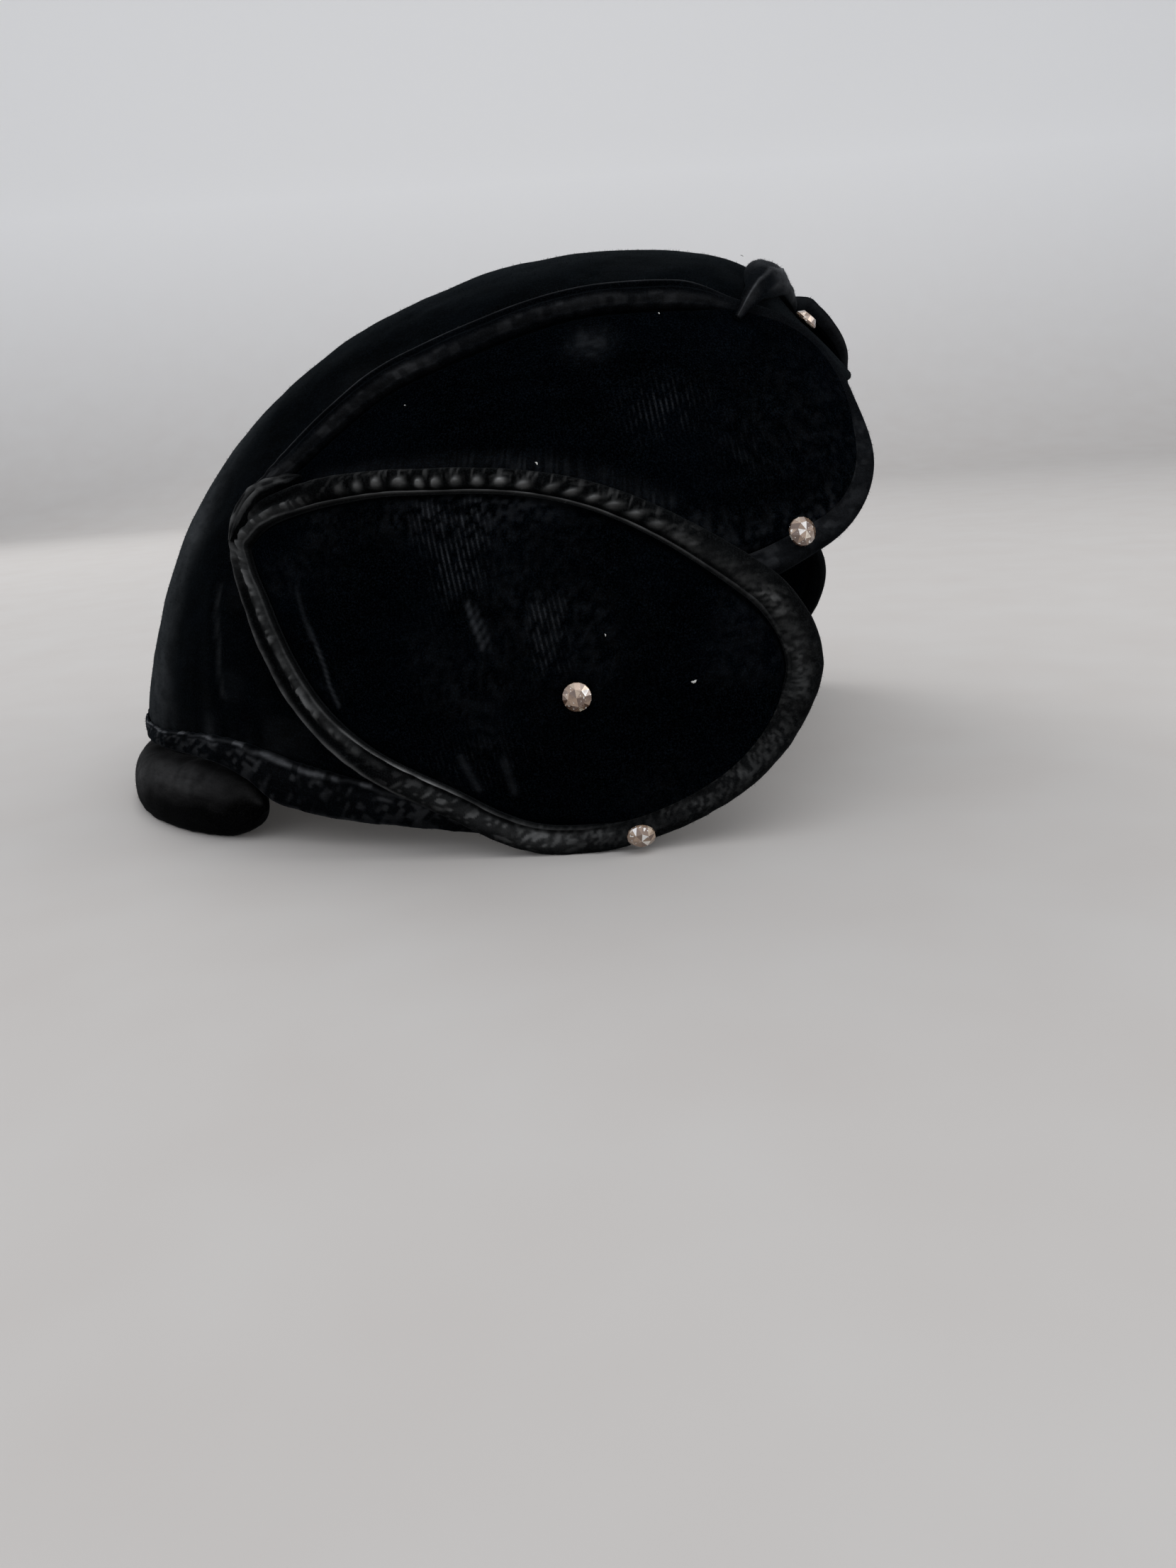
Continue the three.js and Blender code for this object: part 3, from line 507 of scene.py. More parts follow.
def stone_glass():
    """Foil backed glass: every facet keeps its own colour from champagne to pale grey, partly the foil's and partly
    painted reflection, with small painted white glints.
    """
    material, tree, bsdf = node_tree("foil_backed_glass")
    foil_tone_and_glint = attribute(tree, "foil_tone_and_glint")
    colour = mix_colour(tree, ramp_value(tree, foil_tone_and_glint, 0.0, 0.45), (0.13, 0.075, 0.05), (0.42, 0.29, 0.20))
    colour = mix_colour(tree, ramp_value(tree, foil_tone_and_glint, 0.4, 0.75), colour, (0.66, 0.55, 0.42))
    colour = mix_colour(tree, ramp_value(tree, foil_tone_and_glint, 0.8, 1.0), colour, (0.98, 0.97, 0.95))
    inner = texture_noise(tree, 900.0, 2.0, 0.6)
    colour = mix_colour(tree, arith(tree, "MULTIPLY", ramp_value(tree, inner, 0.5, 0.68), 0.55), colour, (0.20, 0.13, 0.10))
    # painted glints: small near white specks over the facets
    colour = mix_colour(tree, ramp_value(tree, texture_noise(tree, 1900.0, 1.0, 0.5), 0.66, 0.72), colour, (1.0, 0.97, 0.92))
    link(tree, colour, bsdf.inputs["Base Color"])
    link(tree, ramp_value(tree, inner, 0.3, 0.7, 0.06, 0.16), bsdf.inputs["Roughness"])
    bsdf.inputs["Metallic"].default_value = 0.35
    bsdf.inputs["IOR"].default_value = 1.6
    bsdf.inputs["Coat Weight"].default_value = 1.0
    bsdf.inputs["Coat Roughness"].default_value = 0.03
    bsdf.inputs["Coat IOR"].default_value = 1.7
    return material


velvet_main = velvet("velvet_pile", (0.00005, 0.00008, 0.00016), (0.0003, 0.0006, 0.0012), (0.0040, 0.0062, 0.0090), (0.085, 0.092, 0.102),
                     0.006, 0.30, (0.60, 0.82, 1.0), 0.0)
velvet_crown = velvet("velvet_crown", (0.0002, 0.0003, 0.0004), (0.0008, 0.0013, 0.0019), (0.0042, 0.0060, 0.0080), (0.080, 0.085, 0.090),
                      0.030, 0.30, (0.78, 0.92, 1.0), 0.0)
velvet_band = velvet("velvet_band", (0.0002, 0.0003, 0.0005), (0.0009, 0.0014, 0.0021), (0.0050, 0.0066, 0.0085), (0.105, 0.109, 0.116),
                     0.020, 0.30, (0.75, 0.88, 1.0), 0.0)
velvet_binding = velvet("velvet_binding", (0.0003, 0.0004, 0.0005), (0.0014, 0.0019, 0.0023), (0.0075, 0.0088, 0.0095), (0.205, 0.208, 0.207),
                        0.024, 0.30, (0.85, 0.94, 1.0), 0.02)
velvet_roll = velvet("velvet_roll", (0.0005, 0.0005, 0.0005), (0.0016, 0.0017, 0.0018), (0.0060, 0.0062, 0.0064), (0.066, 0.066, 0.067),
                     0.030, 0.30, (0.96, 0.98, 1.0), 0.0)
lining = lining_cloth()
glass = stone_glass()


# ------------------------------------------------------------------ camera, floor, light
def set_camera():
    data = bpy.data.cameras.new("camera")
    data.lens, data.sensor_width, data.sensor_fit = 27.195, 36.0, "AUTO"
    data.clip_start, data.clip_end = 0.01, 20.0
    camera = bpy.data.objects.new("camera", data)
    right, down, ahead = (0.97867, 0.19234, -0.07214), (-0.01315, -0.29182, -0.95638), (-0.205, 0.93694, -0.28306)
    where = (0.08339, -0.28678, 0.0760)
    camera.matrix_world = Matrix((
        (right[0], -down[0], -ahead[0], where[0]), (right[1], -down[1], -ahead[1], where[1]),
        (right[2], -down[2], -ahead[2], where[2]), (0, 0, 0, 1)))
    bpy.context.scene.collection.objects.link(camera)
    bpy.context.scene.camera = camera


def area_light(name, where, aim, size, power, colour=(1, 1, 1)):
    data = bpy.data.lights.new(name, "AREA")
    data.shape, data.size, data.size_y = "RECTANGLE", size[0], size[1]
    data.energy, data.color = power, colour
    lamp = bpy.data.objects.new(name, data)
    lamp.location = where
    lamp.rotation_euler = (Vector(aim) - Vector(where)).to_track_quat("-Z", "Y").to_euler()
    bpy.context.scene.collection.objects.link(lamp)


def studio():
    world = bpy.data.worlds.new("studio")
    world.use_nodes = True
    back = world.node_tree.nodes["Background"]
    back.inputs[0].default_value = (0.93, 0.95, 1.0, 1)
    back.inputs[1].default_value = 0.80
    bpy.context.scene.world = world
    bpy.context.scene.view_settings.view_transform = "Standard"
    area_light("key", (0.35, -0.25, 1.15), (0.0, 0.0, 0.05), (0.9, 0.9), 3.0, (0.97, 0.985, 1.0))
    area_light("rear", (-0.75, 0.75, 0.75), (0.0, 0.0, 0.06), (0.8, 0.8), 4.0)
    area_light("front", (0.95, 0.1, 0.45), (0.0, 0.0, 0.06), (0.5, 0.5), 2.0, (1.0, 0.98, 0.95))
    n, reach, bend = 24, 2.4, 0.5
    arc = np.radians(np.linspace(0, 90, n))
    x = np.concatenate([[-reach], reach * 0.5 + bend * np.sin(arc), [reach * 0.5 + bend]])
    z = np.concatenate([[0.0], bend * (1 - np.cos(arc)), [1.8]])
    # the sweep rises behind the object as the camera sees it
    ahead, across = np.array([-0.2137, 0.9769]), np.array([0.9769, 0.2137])
    verts = [(ahead[0] * a + across[0] * s, ahead[1] * a + across[1] * s, h) for a, h in zip(x, z) for s in (-3.0, 3.0)]
    faces = [(2 * i, 2 * i + 1, 2 * i + 3, 2 * i + 2) for i in range(len(x) - 1)]
    mesh = bpy.data.meshes.new("floor")
    mesh.from_pydata(verts, [], faces)
    mesh.polygons.foreach_set("use_smooth", np.ones(len(mesh.polygons), bool))
    floor = bpy.data.objects.new("floor", mesh)
    bpy.context.scene.collection.objects.link(floor)
    material, tree, bsdf = node_tree("pale_floor")
    speck = texture_noise(tree, 30.0, 2.0, 0.5)
    where = tree.nodes.new("ShaderNodeTexCoord")
    split = tree.nodes.new("ShaderNodeSeparateXYZ")
    link(tree, where.outputs["Object"], split.inputs[0])
    low = mix_colour(tree, speck, (0.49, 0.462, 0.438), (0.53, 0.515, 0.495))
    link(tree, mix_colour(tree, ramp_value(tree, split.outputs["Z"], 0.0, 0.45), low, (0.90, 0.90, 0.895)), bsdf.inputs["Base Color"])
    bsdf.inputs["Roughness"].default_value = 0.9
    mesh.materials.append(material)


set_camera()
studio()


# ------------------------------------------------------------------ crown
def crown_direction(a, r):
    az, side = np.where(a <= 180, a, 360 - a), np.where(a <= 180, -1.0, 1.0)
    el = 90 - (90 - lookup(CROWN_EDGE, az)) * r
    az, el = np.radians(az), np.radians(el)
    return np.stack([np.cos(el) * np.cos(az), side * np.cos(el) * np.sin(az), np.sin(el)], -1)


def blob(az, el, at_az, at_el, wide, high, power=2):
    return np.exp(-(((az - at_az) / wide) ** power + ((el - at_el) / high) ** power))


def near_line(az, el, points, width):
    """1 on a polyline given in az and el, falling off smoothly to its sides."""
    best = np.full(az.shape, 1e9)
    squeeze = np.cos(np.radians(np.mean([p[1] for p in points])))
    for (a0, e0), (a1, e1) in zip(points[:-1], points[1:]):
        dx, dy = (a1 - a0) * squeeze, e1 - e0
        px, py = (az - a0) * squeeze, el - e0
        t = np.clip((px * dx + py * dy) / (dx * dx + dy * dy), 0, 1)
        best = np.minimum(best, (px - t * dx) ** 2 + (py - t * dy) ** 2)
    return np.exp(-best / (width * width))


def front_sink(d):
    dip = direction(0, 43)
    angle = np.degrees(np.arccos(np.clip(d @ dip / np.linalg.norm(d, axis=-1), -1, 1)))
    return 2.0 * np.exp(-((angle / 12.0) ** 4))


def crown_fullness(turn, lean):
    """The pile stands fuller over the top of the back and is pressed in lower down."""
    at = np.arange(20.0, 240.0, 0.5)
    rows = [(20, 0), (55, 0), (62, 0.1), (70, 0.3), (83, 0.4), (93, 0.45), (98.7, 0.8), (104.4, 1.5), (110.7, 1.9), (117.6, 1.9), (125.2, 1.55),
            (133.5, 1.05), (143.3, 0.7), (151, 0.15), (156, -0.15), (160.5, -0.45), (165.3, -0.65), (170, -0.65), (174.5, -0.15), (180, 0), (240, 0)]
    full = np.interp(at, [r[0] for r in rows], [r[1] for r in rows])
    kernel = np.exp(-0.5 * (np.arange(-12, 13) / 6.0) ** 2)
    full = np.convolve(np.pad(full, 12, mode="edge"), kernel / kernel.sum(), "valid")
    round_turn = np.where(turn < -60, turn + 360, turn)
    return np.interp(round_turn, at, full) * (1 - smooth(25, 36, np.abs(lean)))


def build_crown():
    columns, rings = 480, 130
    a = np.arange(columns) * 360 / columns
    r = np.linspace(0, 1, rings + 1)[1:] ** 0.95
    grid_a, grid_r = np.meshgrid(a, r, indexing="xy")
    d = crown_direction(grid_a, grid_r)
    az, el = az_el(d)
    side = np.sign(d[..., 1])
    edge = lookup(CROWN_EDGE, az)
    lift = CROWN_OUT - front_sink(d) * (1 - smooth(50, 56, el))
    turn, lean = np.degrees(np.arctan2(d[..., 2], d[..., 0])), np.degrees(np.arcsin(np.clip(d[..., 1], -1, 1)))
    lift = lift + 1.9 * np.exp(-(((turn - 57.5) / 7.5) ** 2) - (lean / 10) ** 2) + crown_fullness(turn, lean)
    lift = lift + 0.30 * noise(d * 6.0, 11) + 0.16 * noise(d * 14.0, 12) + 0.05 * noise(d * 34.0, 13)
    # gathers running up from the hem seam round the back, and the seam's own nip
    back = smooth(112, 124, az)
    up = el - edge
    gather = noise(np.stack([az * side * 0.36, up * 0.05], -1), 14) + 0.6 * noise(np.stack([az * side * 0.95, up * 0.09], -1), 15)
    lift = lift + back * 0.42 * gather * np.exp(-up / 6.5) - back * 0.9 * np.exp(-(up / 1.3) ** 2)
    # long soft crease down the back and dents
    crease = near_line(az, el, [(130.0, 20.5), (129.6, 17), (128.5, 12.5), (128.0, 7.6), (127.1, 4.5)], 0.7)
    lift = lift - 0.30 * crease * (side < 0) + 0.25 * near_line(az, el, [(131.6, 20), (130.2, 12), (129.4, 6)], 1.3) * (side < 0)
    lift = lift - 0.4 * near_line(az, el, [(162, 24), (158, 12), (164, 1)], 1.2) * (side > 0)
    # the raised gathers and the pile by the hem seam are lighter: partly pressed pile, partly a painted highlight on
    # the gathers
    crush = 0.12 * back * np.clip(gather, 0, 1) * np.exp(-up / 6) + 0.03 * smooth(0.1, 0.8, noise(d * 9, 16))
    thin_line = near_line(az, el, [(130.0, 20.0), (129.4, 16), (128.5, 12.5), (128.0, 7.6), (127.1, 4.8)], 0.40)
    crush = crush + 0.17 * thin_line * (side < 0) * (0.7 + 0.3 * noise(d * 60, 18))
    # painted sheen: a lighter band over the lower back of the crown, where the nap is seen at a grazing angle
    painted_rim_sheen = smooth(137, 148, az) * (1 - 0.65 * smooth(160, 178, az)) * smooth(-5, 3, el) * (1 - smooth(30, 58, el))
    crush = crush + painted_rim_sheen * (0.27 + 0.12 * noise(d * 11, 19) + 0.06 * noise(d * 40, 21)) + 0.05 * (1 - smooth(2.0, 7.0, up)) * back * (0.6 + 0.6 * gather)
    ribs = np.zeros_like(az)
    lint = np.zeros_like(az)
    outer = on_form(d, lift)
    pole = on_form(np.array([[0.0, 0, 1.0]]), CROWN_OUT + 0.30 * noise(np.array([[0, 0, 6.0]]), 11))
    # rolled edge, then the inside back up to just above the edge, closed by the lining's line
    roll = []
    for turn in np.linspace(20, 160, 8):
        t = math.radians(turn)
        k = (np.sin(t) * 0.9) / 95.0
        roll.append(on_form(crown_direction(a, np.ones(columns)) + np.array([0, 0, -1.0]) * k, lift[-1] - (1 - math.cos(t)) * 0.75))
    inner_lift = 1.0
    inner = [on_form(crown_direction(a, np.full(columns, q)), inner_lift) for q in np.linspace(1, 0, 26)[:-1]]
    stack = np.concatenate([outer, np.array(roll), np.array(inner)])
    count = len(stack)
    points = np.vstack([pole, stack.reshape(-1, 3), on_form(np.array([[0.0, 0, 1.0]]), inner_lift)])
    faces = grid_quads(count, columns, wrap_cols=True) + 1
    k = np.arange(columns)
    cap = np.stack([np.zeros(columns, int), 1 + k, 1 + (k + 1) % columns, 1 + (k + 1) % columns], -1)
    last = 1 + (count - 1) * columns
    foot = np.stack([np.full(columns, len(points) - 1), last + (k + 1) % columns, last + k, last + k], -1)
    marks = {}
    for key, value in (("crush", crush), ("rib", ribs), ("lint", lint)):
        rest = np.zeros((count - rings, columns))
        marks[key] = np.concatenate([[0.0], np.concatenate([value, rest]).reshape(-1), [0.0]])
    obj = make("crown_velvet", points, np.vstack([faces, cap, foot]), marks, weld=False)
    close_normals(obj)
    place_piece(obj, velvet_crown, "black_velvet", "crown_shell")
    # lining: thin smooth cloth inside
    columns, rings = 180, 40
    a = np.arange(columns) * 360 / columns
    layers = []
    for lift0, order in ((0.9, 1), (0.45, -1)):
        rows = []
        for q in np.linspace(0.03, 0.985, rings)[::order]:
            dd = crown_direction(a, np.full(columns, q))
            rows.append(on_form(dd, lift0 + 0.04 * noise(dd * 10, 17)))
        layers.append(np.array(rows))
    stack = np.concatenate(layers)
    obj = make("crown_lining", stack.reshape(-1, 3), grid_quads(len(stack), columns, wrap_rows=True, wrap_cols=True), {}, weld=False)
    close_normals(obj)
    place_piece(obj, lining, "black_velvet", "crown_shell")


# ------------------------------------------------------------------ leaves' panels
def leaf_panel(name, node, leaf, width, low, high, seed, paint, flush=None):
    rings = 34
    r = 1 - (1 - np.linspace(0, 1, rings + 1)) ** 1.6
    flush = np.zeros((leaf.count, 1)) if flush is None else flush[:, None]
    edge = width[:, None] - 0.9 * (1 - flush) + 0.04 * flush
    inward = leaf.length[:, None] - r * (leaf.length[:, None] - edge)
    from_edge = np.minimum(inward - width[:, None] - 0.05, 40.0) * leaf.square[:, None]
    k = (1 - inward / leaf.length[:, None])[..., None]
    d = Leaf._unit(leaf.spine[:, None] * (1 - k) + leaf.outline[:, None] * k)
    az, el = az_el(d)
    soft = smooth(0.5, 4.0, from_edge)
    inside = np.maximum(from_edge, 0)
    tuck = low + 0.26
    lift = high - (1 - flush) * ((high - tuck - 0.4) * np.exp(-((inside / 1.0) ** 1.4)) + 0.4 * np.exp(-inside / 4.0))
    lift = lift + soft * (0.22 * noise(d * 7.0, seed) + 0.10 * noise(d * 16.0, seed + 1) + 0.04 * noise(d * 40.0, seed + 2))
    # small puckers pulled in by the seam's stitches
    run = leaf.run[:, None] / 3.1
    lift = lift + 0.04 * np.cos(2 * np.pi * (run + 0.3 * noise_line(run / 3, seed + 5))) * np.exp(-(((from_edge - 1.2) / 1.1) ** 2)) * (1 - flush)
    extra, marks = paint(leaf, d, az, el, from_edge)
    lift = np.where((from_edge > 0) | (flush > 0.97), lift + extra * soft, tuck)
    outer = on_form(d, lift)
    steps = np.linspace(1, 0, 8)
    under = leaf.at(leaf.length[:, None] - steps * (leaf.length[:, None] - edge), low)
    columns = np.concatenate([outer, under], axis=1)
    n, m = columns.shape[:2]
    out_marks = {}
    for key in ("crush", "rib", "lint"):
        value = marks.get(key, np.zeros_like(az))
        out_marks[key] = np.concatenate([value, np.zeros((n, m - value.shape[1]))], axis=1)
    obj = make(name, columns.reshape(-1, 3), grid_quads(n, m, wrap_rows=True), out_marks)
    close_normals(obj)
    return place_piece(obj, velvet_main, "black_velvet", node)


def paint_upper(leaf, d, az, el, from_edge):
    """A few faint ribs, a worn mark near the top and pile ruffled up along the lower leaf's edge."""
    cloud = 0.5 + 0.5 * noise(d * 22.0, 33)
    speckle = smooth(-0.3, 0.7, noise(d * 90.0, 35))
    crush = 0.13 * near_line(az, el, [(34.3, 22.7), (38.6, 21.0), (47.4, 21.2), (52.8, 23.6)], 2.0) * (0.2 + 1.0 * cloud) * speckle
    streaks = smooth(-0.3, 0.8, noise(np.stack([az * 2.6 + el * 0.5, el * 0.30], -1), 36))
    ruffled = near_line(az, el, [(110, 35.6), (99, 36.6), (89, 36.4), (79, 35.4), (70, 33.4), (63, 30.6), (57, 27.4)], 1.2)
    crush = crush + 0.13 * ruffled * streaks * (0.2 + 0.9 * cloud) * (0.25 + 0.75 * (1 - smooth(78, 88, az))) + 0.03 * ruffled
    crush = crush + 0.20 * blob(az, el, 61.5, 48.0, 3.0, 1.8) * (0.4 + 0.8 * speckle) + 0.03 * blob(az, el, 34, 32, 12, 10) * speckle
    ribs = 0.34 * blob(az, el, 54, 38, 5, 3.0) * speckle + 0.10 * blob(az, el, 45, 31, 4, 3) * speckle
    dent = -0.30 * near_line(az, el, [(33, 26), (40, 24.5), (50, 25.5), (58, 29)], 1.4)
    dent = dent - 0.3 * blob(az, el, 61.5, 48.0, 2.6, 1.6)
    return dent, {"crush": np.clip(crush, 0, 1), "rib": ribs}


def paint_lower(leaf, d, az, el, from_edge):
    """Pressed ribs in patches, two short strokes and a short crease towards the rear."""
    fade = smooth(-1.0, 0.4, noise(d * 13.0, 34))
    speckle = smooth(-0.5, 0.6, noise(d * 90.0, 35))
    ribs = (0.80 * blob(az, el, 85.5, 25.0, 5.0, 7.5, 4) * (0.45 + 0.55 * smooth(14, 30, el)) + 0.50 * blob(az, el, 73.2, 13.5, 2.6, 4.6, 4)
            + 0.12 * blob(az, el, 84, -2.5, 9.0, 4.0) + 0.06 * blob(az, el, 62, 10, 4, 3)) * fade * speckle
    crush = 0.035 * smooth(0.2, 0.9, noise(d * 8, 31)) * speckle + 0.09 * blob(az, el, 82, 29.5, 16, 3.2) * speckle + 0.05 * blob(az, el, 75, 17, 9, 9) * speckle
    crush = crush + 0.36 * near_line(az, el, [(83.6, 18.0), (81.9, 12.4)], 0.26) + 0.20 * near_line(az, el, [(82.6, 17.6), (81.1, 12.9)], 0.22)
    line = near_line(az, el, [(108.7, 18.3), (106.4, 12.8), (105.5, 10.6), (104.8, 7.8), (103.7, 5.3)], 0.26)
    crush = crush + 0.30 * line * smooth(17.5, 12.5, el) + 0.10 * near_line(az, el, [(109.8, 20.5), (107.4, 14.0)], 0.3)
    crush = crush + 0.13 * near_line(az, el, [(86.6, -2.0), (84.6, -6.5)], 0.5) + 0.10 * near_line(az, el, [(80.6, -2.4), (79.6, -7.0)], 0.5)
    dent = -0.30 * near_line(az, el, [(108.2, 15.0), (104.2, 5.0)], 0.8)
    return dent, {"crush": np.clip(crush, 0, 1), "rib": np.clip(ribs, 0, 1)}


# ------------------------------------------------------------------ leaves' bindings
def binding_ring(name, node, leaf, width, low, high, seed, style, span=None, side=-1):
    """A rolled edge binding: outer roll, gathers, groove and a thin cord along the seam."""
    top = np.concatenate([np.linspace(0, 1, 40)])
    index = np.arange(leaf.count) if span is None else np.arange(span[0], span[1] + 1)
    part, run, w = leaf.part[index], leaf.run[index], width[index]
    a = top[None, :] * np.ones((len(index), 1))
    s, p = run[:, None], part[:, None]
    rise, crush, bead = style(leaf, a, s, p, seed, index)
    inward = a * w[:, None]
    lift = low + rise * (high - low)
    under = np.array([0.985, 0.8, 0.62, 0.58, 0.35, 0.04])
    bottom = under[None, :] * w[:, None]
    inward_all = np.concatenate([inward, bottom], 1)
    lift_all = np.concatenate([lift, np.where(under > 0.6, low + 0.42, low + 0.02)[None, :] * np.ones(bottom.shape)], 1)
    k = (1 - inward_all / leaf.length[index][:, None])[..., None]
    d = Leaf._unit(leaf.spine[index][:, None] * (1 - k) + leaf.outline[index][:, None] * k)
    points = on_form(d, lift_all)
    marks = {"crush": np.concatenate([crush, np.zeros(bottom.shape)], 1), "rib": np.zeros(inward_all.shape), "lint": np.zeros(inward_all.shape)}
    n, m = points.shape[:2]
    if span is None:
        obj = make(name, points.reshape(-1, 3), grid_quads(n, m, wrap_rows=True, wrap_cols=True), marks, weld=False)
    else:
        # rounded ends: the first and last sections close on their middles
        flat = points.reshape(-1, 3)
        ends = np.stack([points[0].mean(0), points[-1].mean(0)])
        faces = grid_quads(n, m, wrap_cols=True)
        j = np.arange(m)
        a0, b0 = n * m, n * m + 1
        first = np.stack([np.full(m, a0), j, (j + 1) % m, (j + 1) % m], -1)
        last = np.stack([np.full(m, b0), (n - 1) * m + (j + 1) % m, (n - 1) * m + j, (n - 1) * m + j], -1)
        for key in marks:
            marks[key] = np.concatenate([marks[key].reshape(-1), [0.0, 0.0]])
        obj = make(name, np.vstack([flat, ends]), np.vstack([faces, first, last]), marks, weld=False)
    close_normals(obj)
    return place_piece(obj, velvet_band if style is upper_style else velvet_binding, "binding_velvet", node)


def bell(x, centre, width):
    return np.exp(-(((x - centre) / width) ** 2))


def soft_roll(a, flat, crest, at=0.42):
    """A turned edge with no seam: round outside, running out flush with the panel."""
    outside = 0.10 + (crest - 0.10) * np.clip(1 - np.abs(1 - a / at) ** 2.4, 0, 1) ** 0.5
    return np.where(a < at, outside, flat + (crest - flat) * np.exp(-(((a - at) / 0.27) ** 2)))


def lower_style(leaf, a, s, p, seed, index):
    """Rope like roll gathered into beads along the top, a fine clumped row at the rear, a soft mottled turn at the front."""
    gathered = smooth(0.092, 0.165, p) * (1 - smooth(0.31, 0.38, p))
    behind = smooth(0.80, 0.86, p) + (1 - smooth(0.055, 0.09, p))
    slanting = smooth(0.23, 0.28, p) * (1 - smooth(0.36, 0.42, p))
    mottled = smooth(0.33, 0.40, p) * (1 - smooth(0.68, 0.76, p))
    turned = smooth(0.485, 0.53, p) * (1 - smooth(0.64, 0.685, p))
    phase = s / 3.9 + 0.34 * noise_line(s / 6.0, seed)
    place = phase + (a - 0.62) * (0.25 + 1.0 * slanting)
    beads = (0.5 + 0.5 * np.cos(2 * np.pi * place)) ** 2.2
    size = 0.85 + 0.50 * noise_line(phase + 0.5, seed + 1)
    middle = 0.64 - 0.05 * np.clip(noise_line(s / 5.0, seed + 7), -1, 1)
    rise = 0.30 + 0.62 * np.clip(1 - np.abs((a - 0.32) / 0.36) ** 2.4, 0, 1) ** 0.5
    rise = np.where(a > 0.32, 0.34 + 0.58 * np.clip(1 - ((a - 0.32) / 0.52) ** 2.0, 0, 1) ** 0.6, rise)
    # at the rear a low outer fold, a groove and a clumped row beside the panel
    rear = 0.32 + 0.48 * np.clip(1 - np.abs((a - 0.17) / 0.20) ** 2.2, 0, 1) ** 0.5
    rear = np.maximum(rear, 0.58 + 0.22 * bell(a, 0.12, 0.10)) * smooth(-0.02, 0.05, a) + 0.30 * (1 - smooth(-0.02, 0.05, a))
    rear = rear + 0.24 * bell(a, 0.70, 0.20)
    rise = rise * (1 - behind) + rear * behind
    row = bell(a, middle, 0.11)
    tail = np.exp(-((np.minimum(a - middle, 0) / 0.15) ** 2)) * (a < middle) + bell(a, middle, 0.10) * (a >= middle)
    rise = rise + gathered * row * (0.22 * size * beads - 0.12 * (1 - beads))
    clump = noise(np.stack(np.broadcast_arrays(s / 0.85 + 0.6 * noise_line(s / 3.0, seed + 9), a * 4.2), -1), seed + 10)
    clump = smooth(-0.10, 0.60, clump) * (0.55 + 0.45 * noise_line(s / 4.0, seed + 11))
    rise = rise + behind * 0.16 * clump * bell(a, 0.72, 0.14)
    seam = (1 - turned) * (1 - 0.9 * smooth(0.40, 0.46, p) * (1 - smooth(0.64, 0.69, p)))
    fine = smooth(-0.2, 0.7, noise(np.stack(np.broadcast_arrays(s / 0.62 + a * 3.0, a * 10.0), -1), seed + 16))
    rise = rise - (0.10 + 0.12 * (1 - mottled)) * bell(a, 0.835, 0.045) * seam * (1 - behind)
    cord = 0.30 + 0.30 * np.clip(1 - ((a - 0.94) / 0.065) ** 2, 0, 1) ** 0.5
    rise = np.where((a > 0.86), rise + (np.maximum(rise, cord) - rise) * np.clip(seam * 1.5, 0, 1), rise)
    rise = rise * (1 - turned) + soft_roll(a, 0.564, 0.93) * turned
    ripple = noise(np.stack(np.broadcast_arrays(s / 2.2, a * 2.4), -1), seed + 2)
    long_ripple = noise(np.stack(np.broadcast_arrays(s / 8.0, a * 1.5), -1), seed + 3)
    rise = rise + (0.035 + 0.05 * mottled * bell(a, 0.5, 0.3)) * ripple + 0.035 * long_ripple * (1 - 0.7 * turned)
    rise = rise - 0.05 * gathered * (1 - beads) * bell(a, 0.40, 0.16)
    # worn light marks; the bead crests, the cord's turned fold and the outer edge line also carry painted highlights
    spots = smooth(-0.1, 0.75, noise(np.stack(np.broadcast_arrays(s / 0.8 + a * 5.0, a * 7.0), -1), seed + 4) + 0.45 * noise(np.stack(np.broadcast_arrays(s / 2.4 + a * 4.0, a * 3.0), -1), seed + 8))
    strokes = smooth(0.05, 0.85, noise(np.stack(np.broadcast_arrays(s / 0.55 + a * 7.0, s / 9.0 - a * 2.2), -1), seed + 12) + 0.35 * noise(np.stack(np.broadcast_arrays(s / 3.0, a * 2.0), -1), seed + 13))
    patch = smooth(-0.5, 0.4, noise(np.stack(np.broadcast_arrays(s / 6.5, a * 2.0), -1), seed + 5))
    streaks = smooth(-0.1, 0.8, noise(np.stack(np.broadcast_arrays(s / 0.42, a * 1.3), -1), seed + 14))
    # the bead crests are lighter partly as pressed pile, partly as a painted highlight on each bead
    crush = gathered * (1.25 * np.clip(size, 0.2, 1.2) * beads * tail * (1 - 0.40 * slanting) * (0.85 + 0.3 * ripple) + 0.20 * streaks * bell(a, 0.30, 0.22))
    crush = crush + mottled * (1 - turned) * (0.05 + (0.22 * spots + 0.16 * fine) * (0.3 + 0.7 * patch)) * bell(a, 0.72, 0.30)
    crush = crush + turned * (0.02 + (0.06 * strokes + 0.12 * fine) * (0.35 + 0.65 * patch)) * bell(a, 0.72, 0.36)
    crush = crush + 0.10 * patch * spots * (1 - mottled) * (1 - behind) * bell(a, 0.4, 0.35)
    crush = crush + behind * (0.10 * bell(a, 0.78, 0.16) + 0.62 * clump * bell(a, 0.70, 0.12))
    low_end = smooth(0.66, 0.70, p) * (1 - smooth(0.77, 0.82, p))
    crush = crush + low_end * (0.06 + 0.22 * spots) * bell(a, 0.55, 0.30)
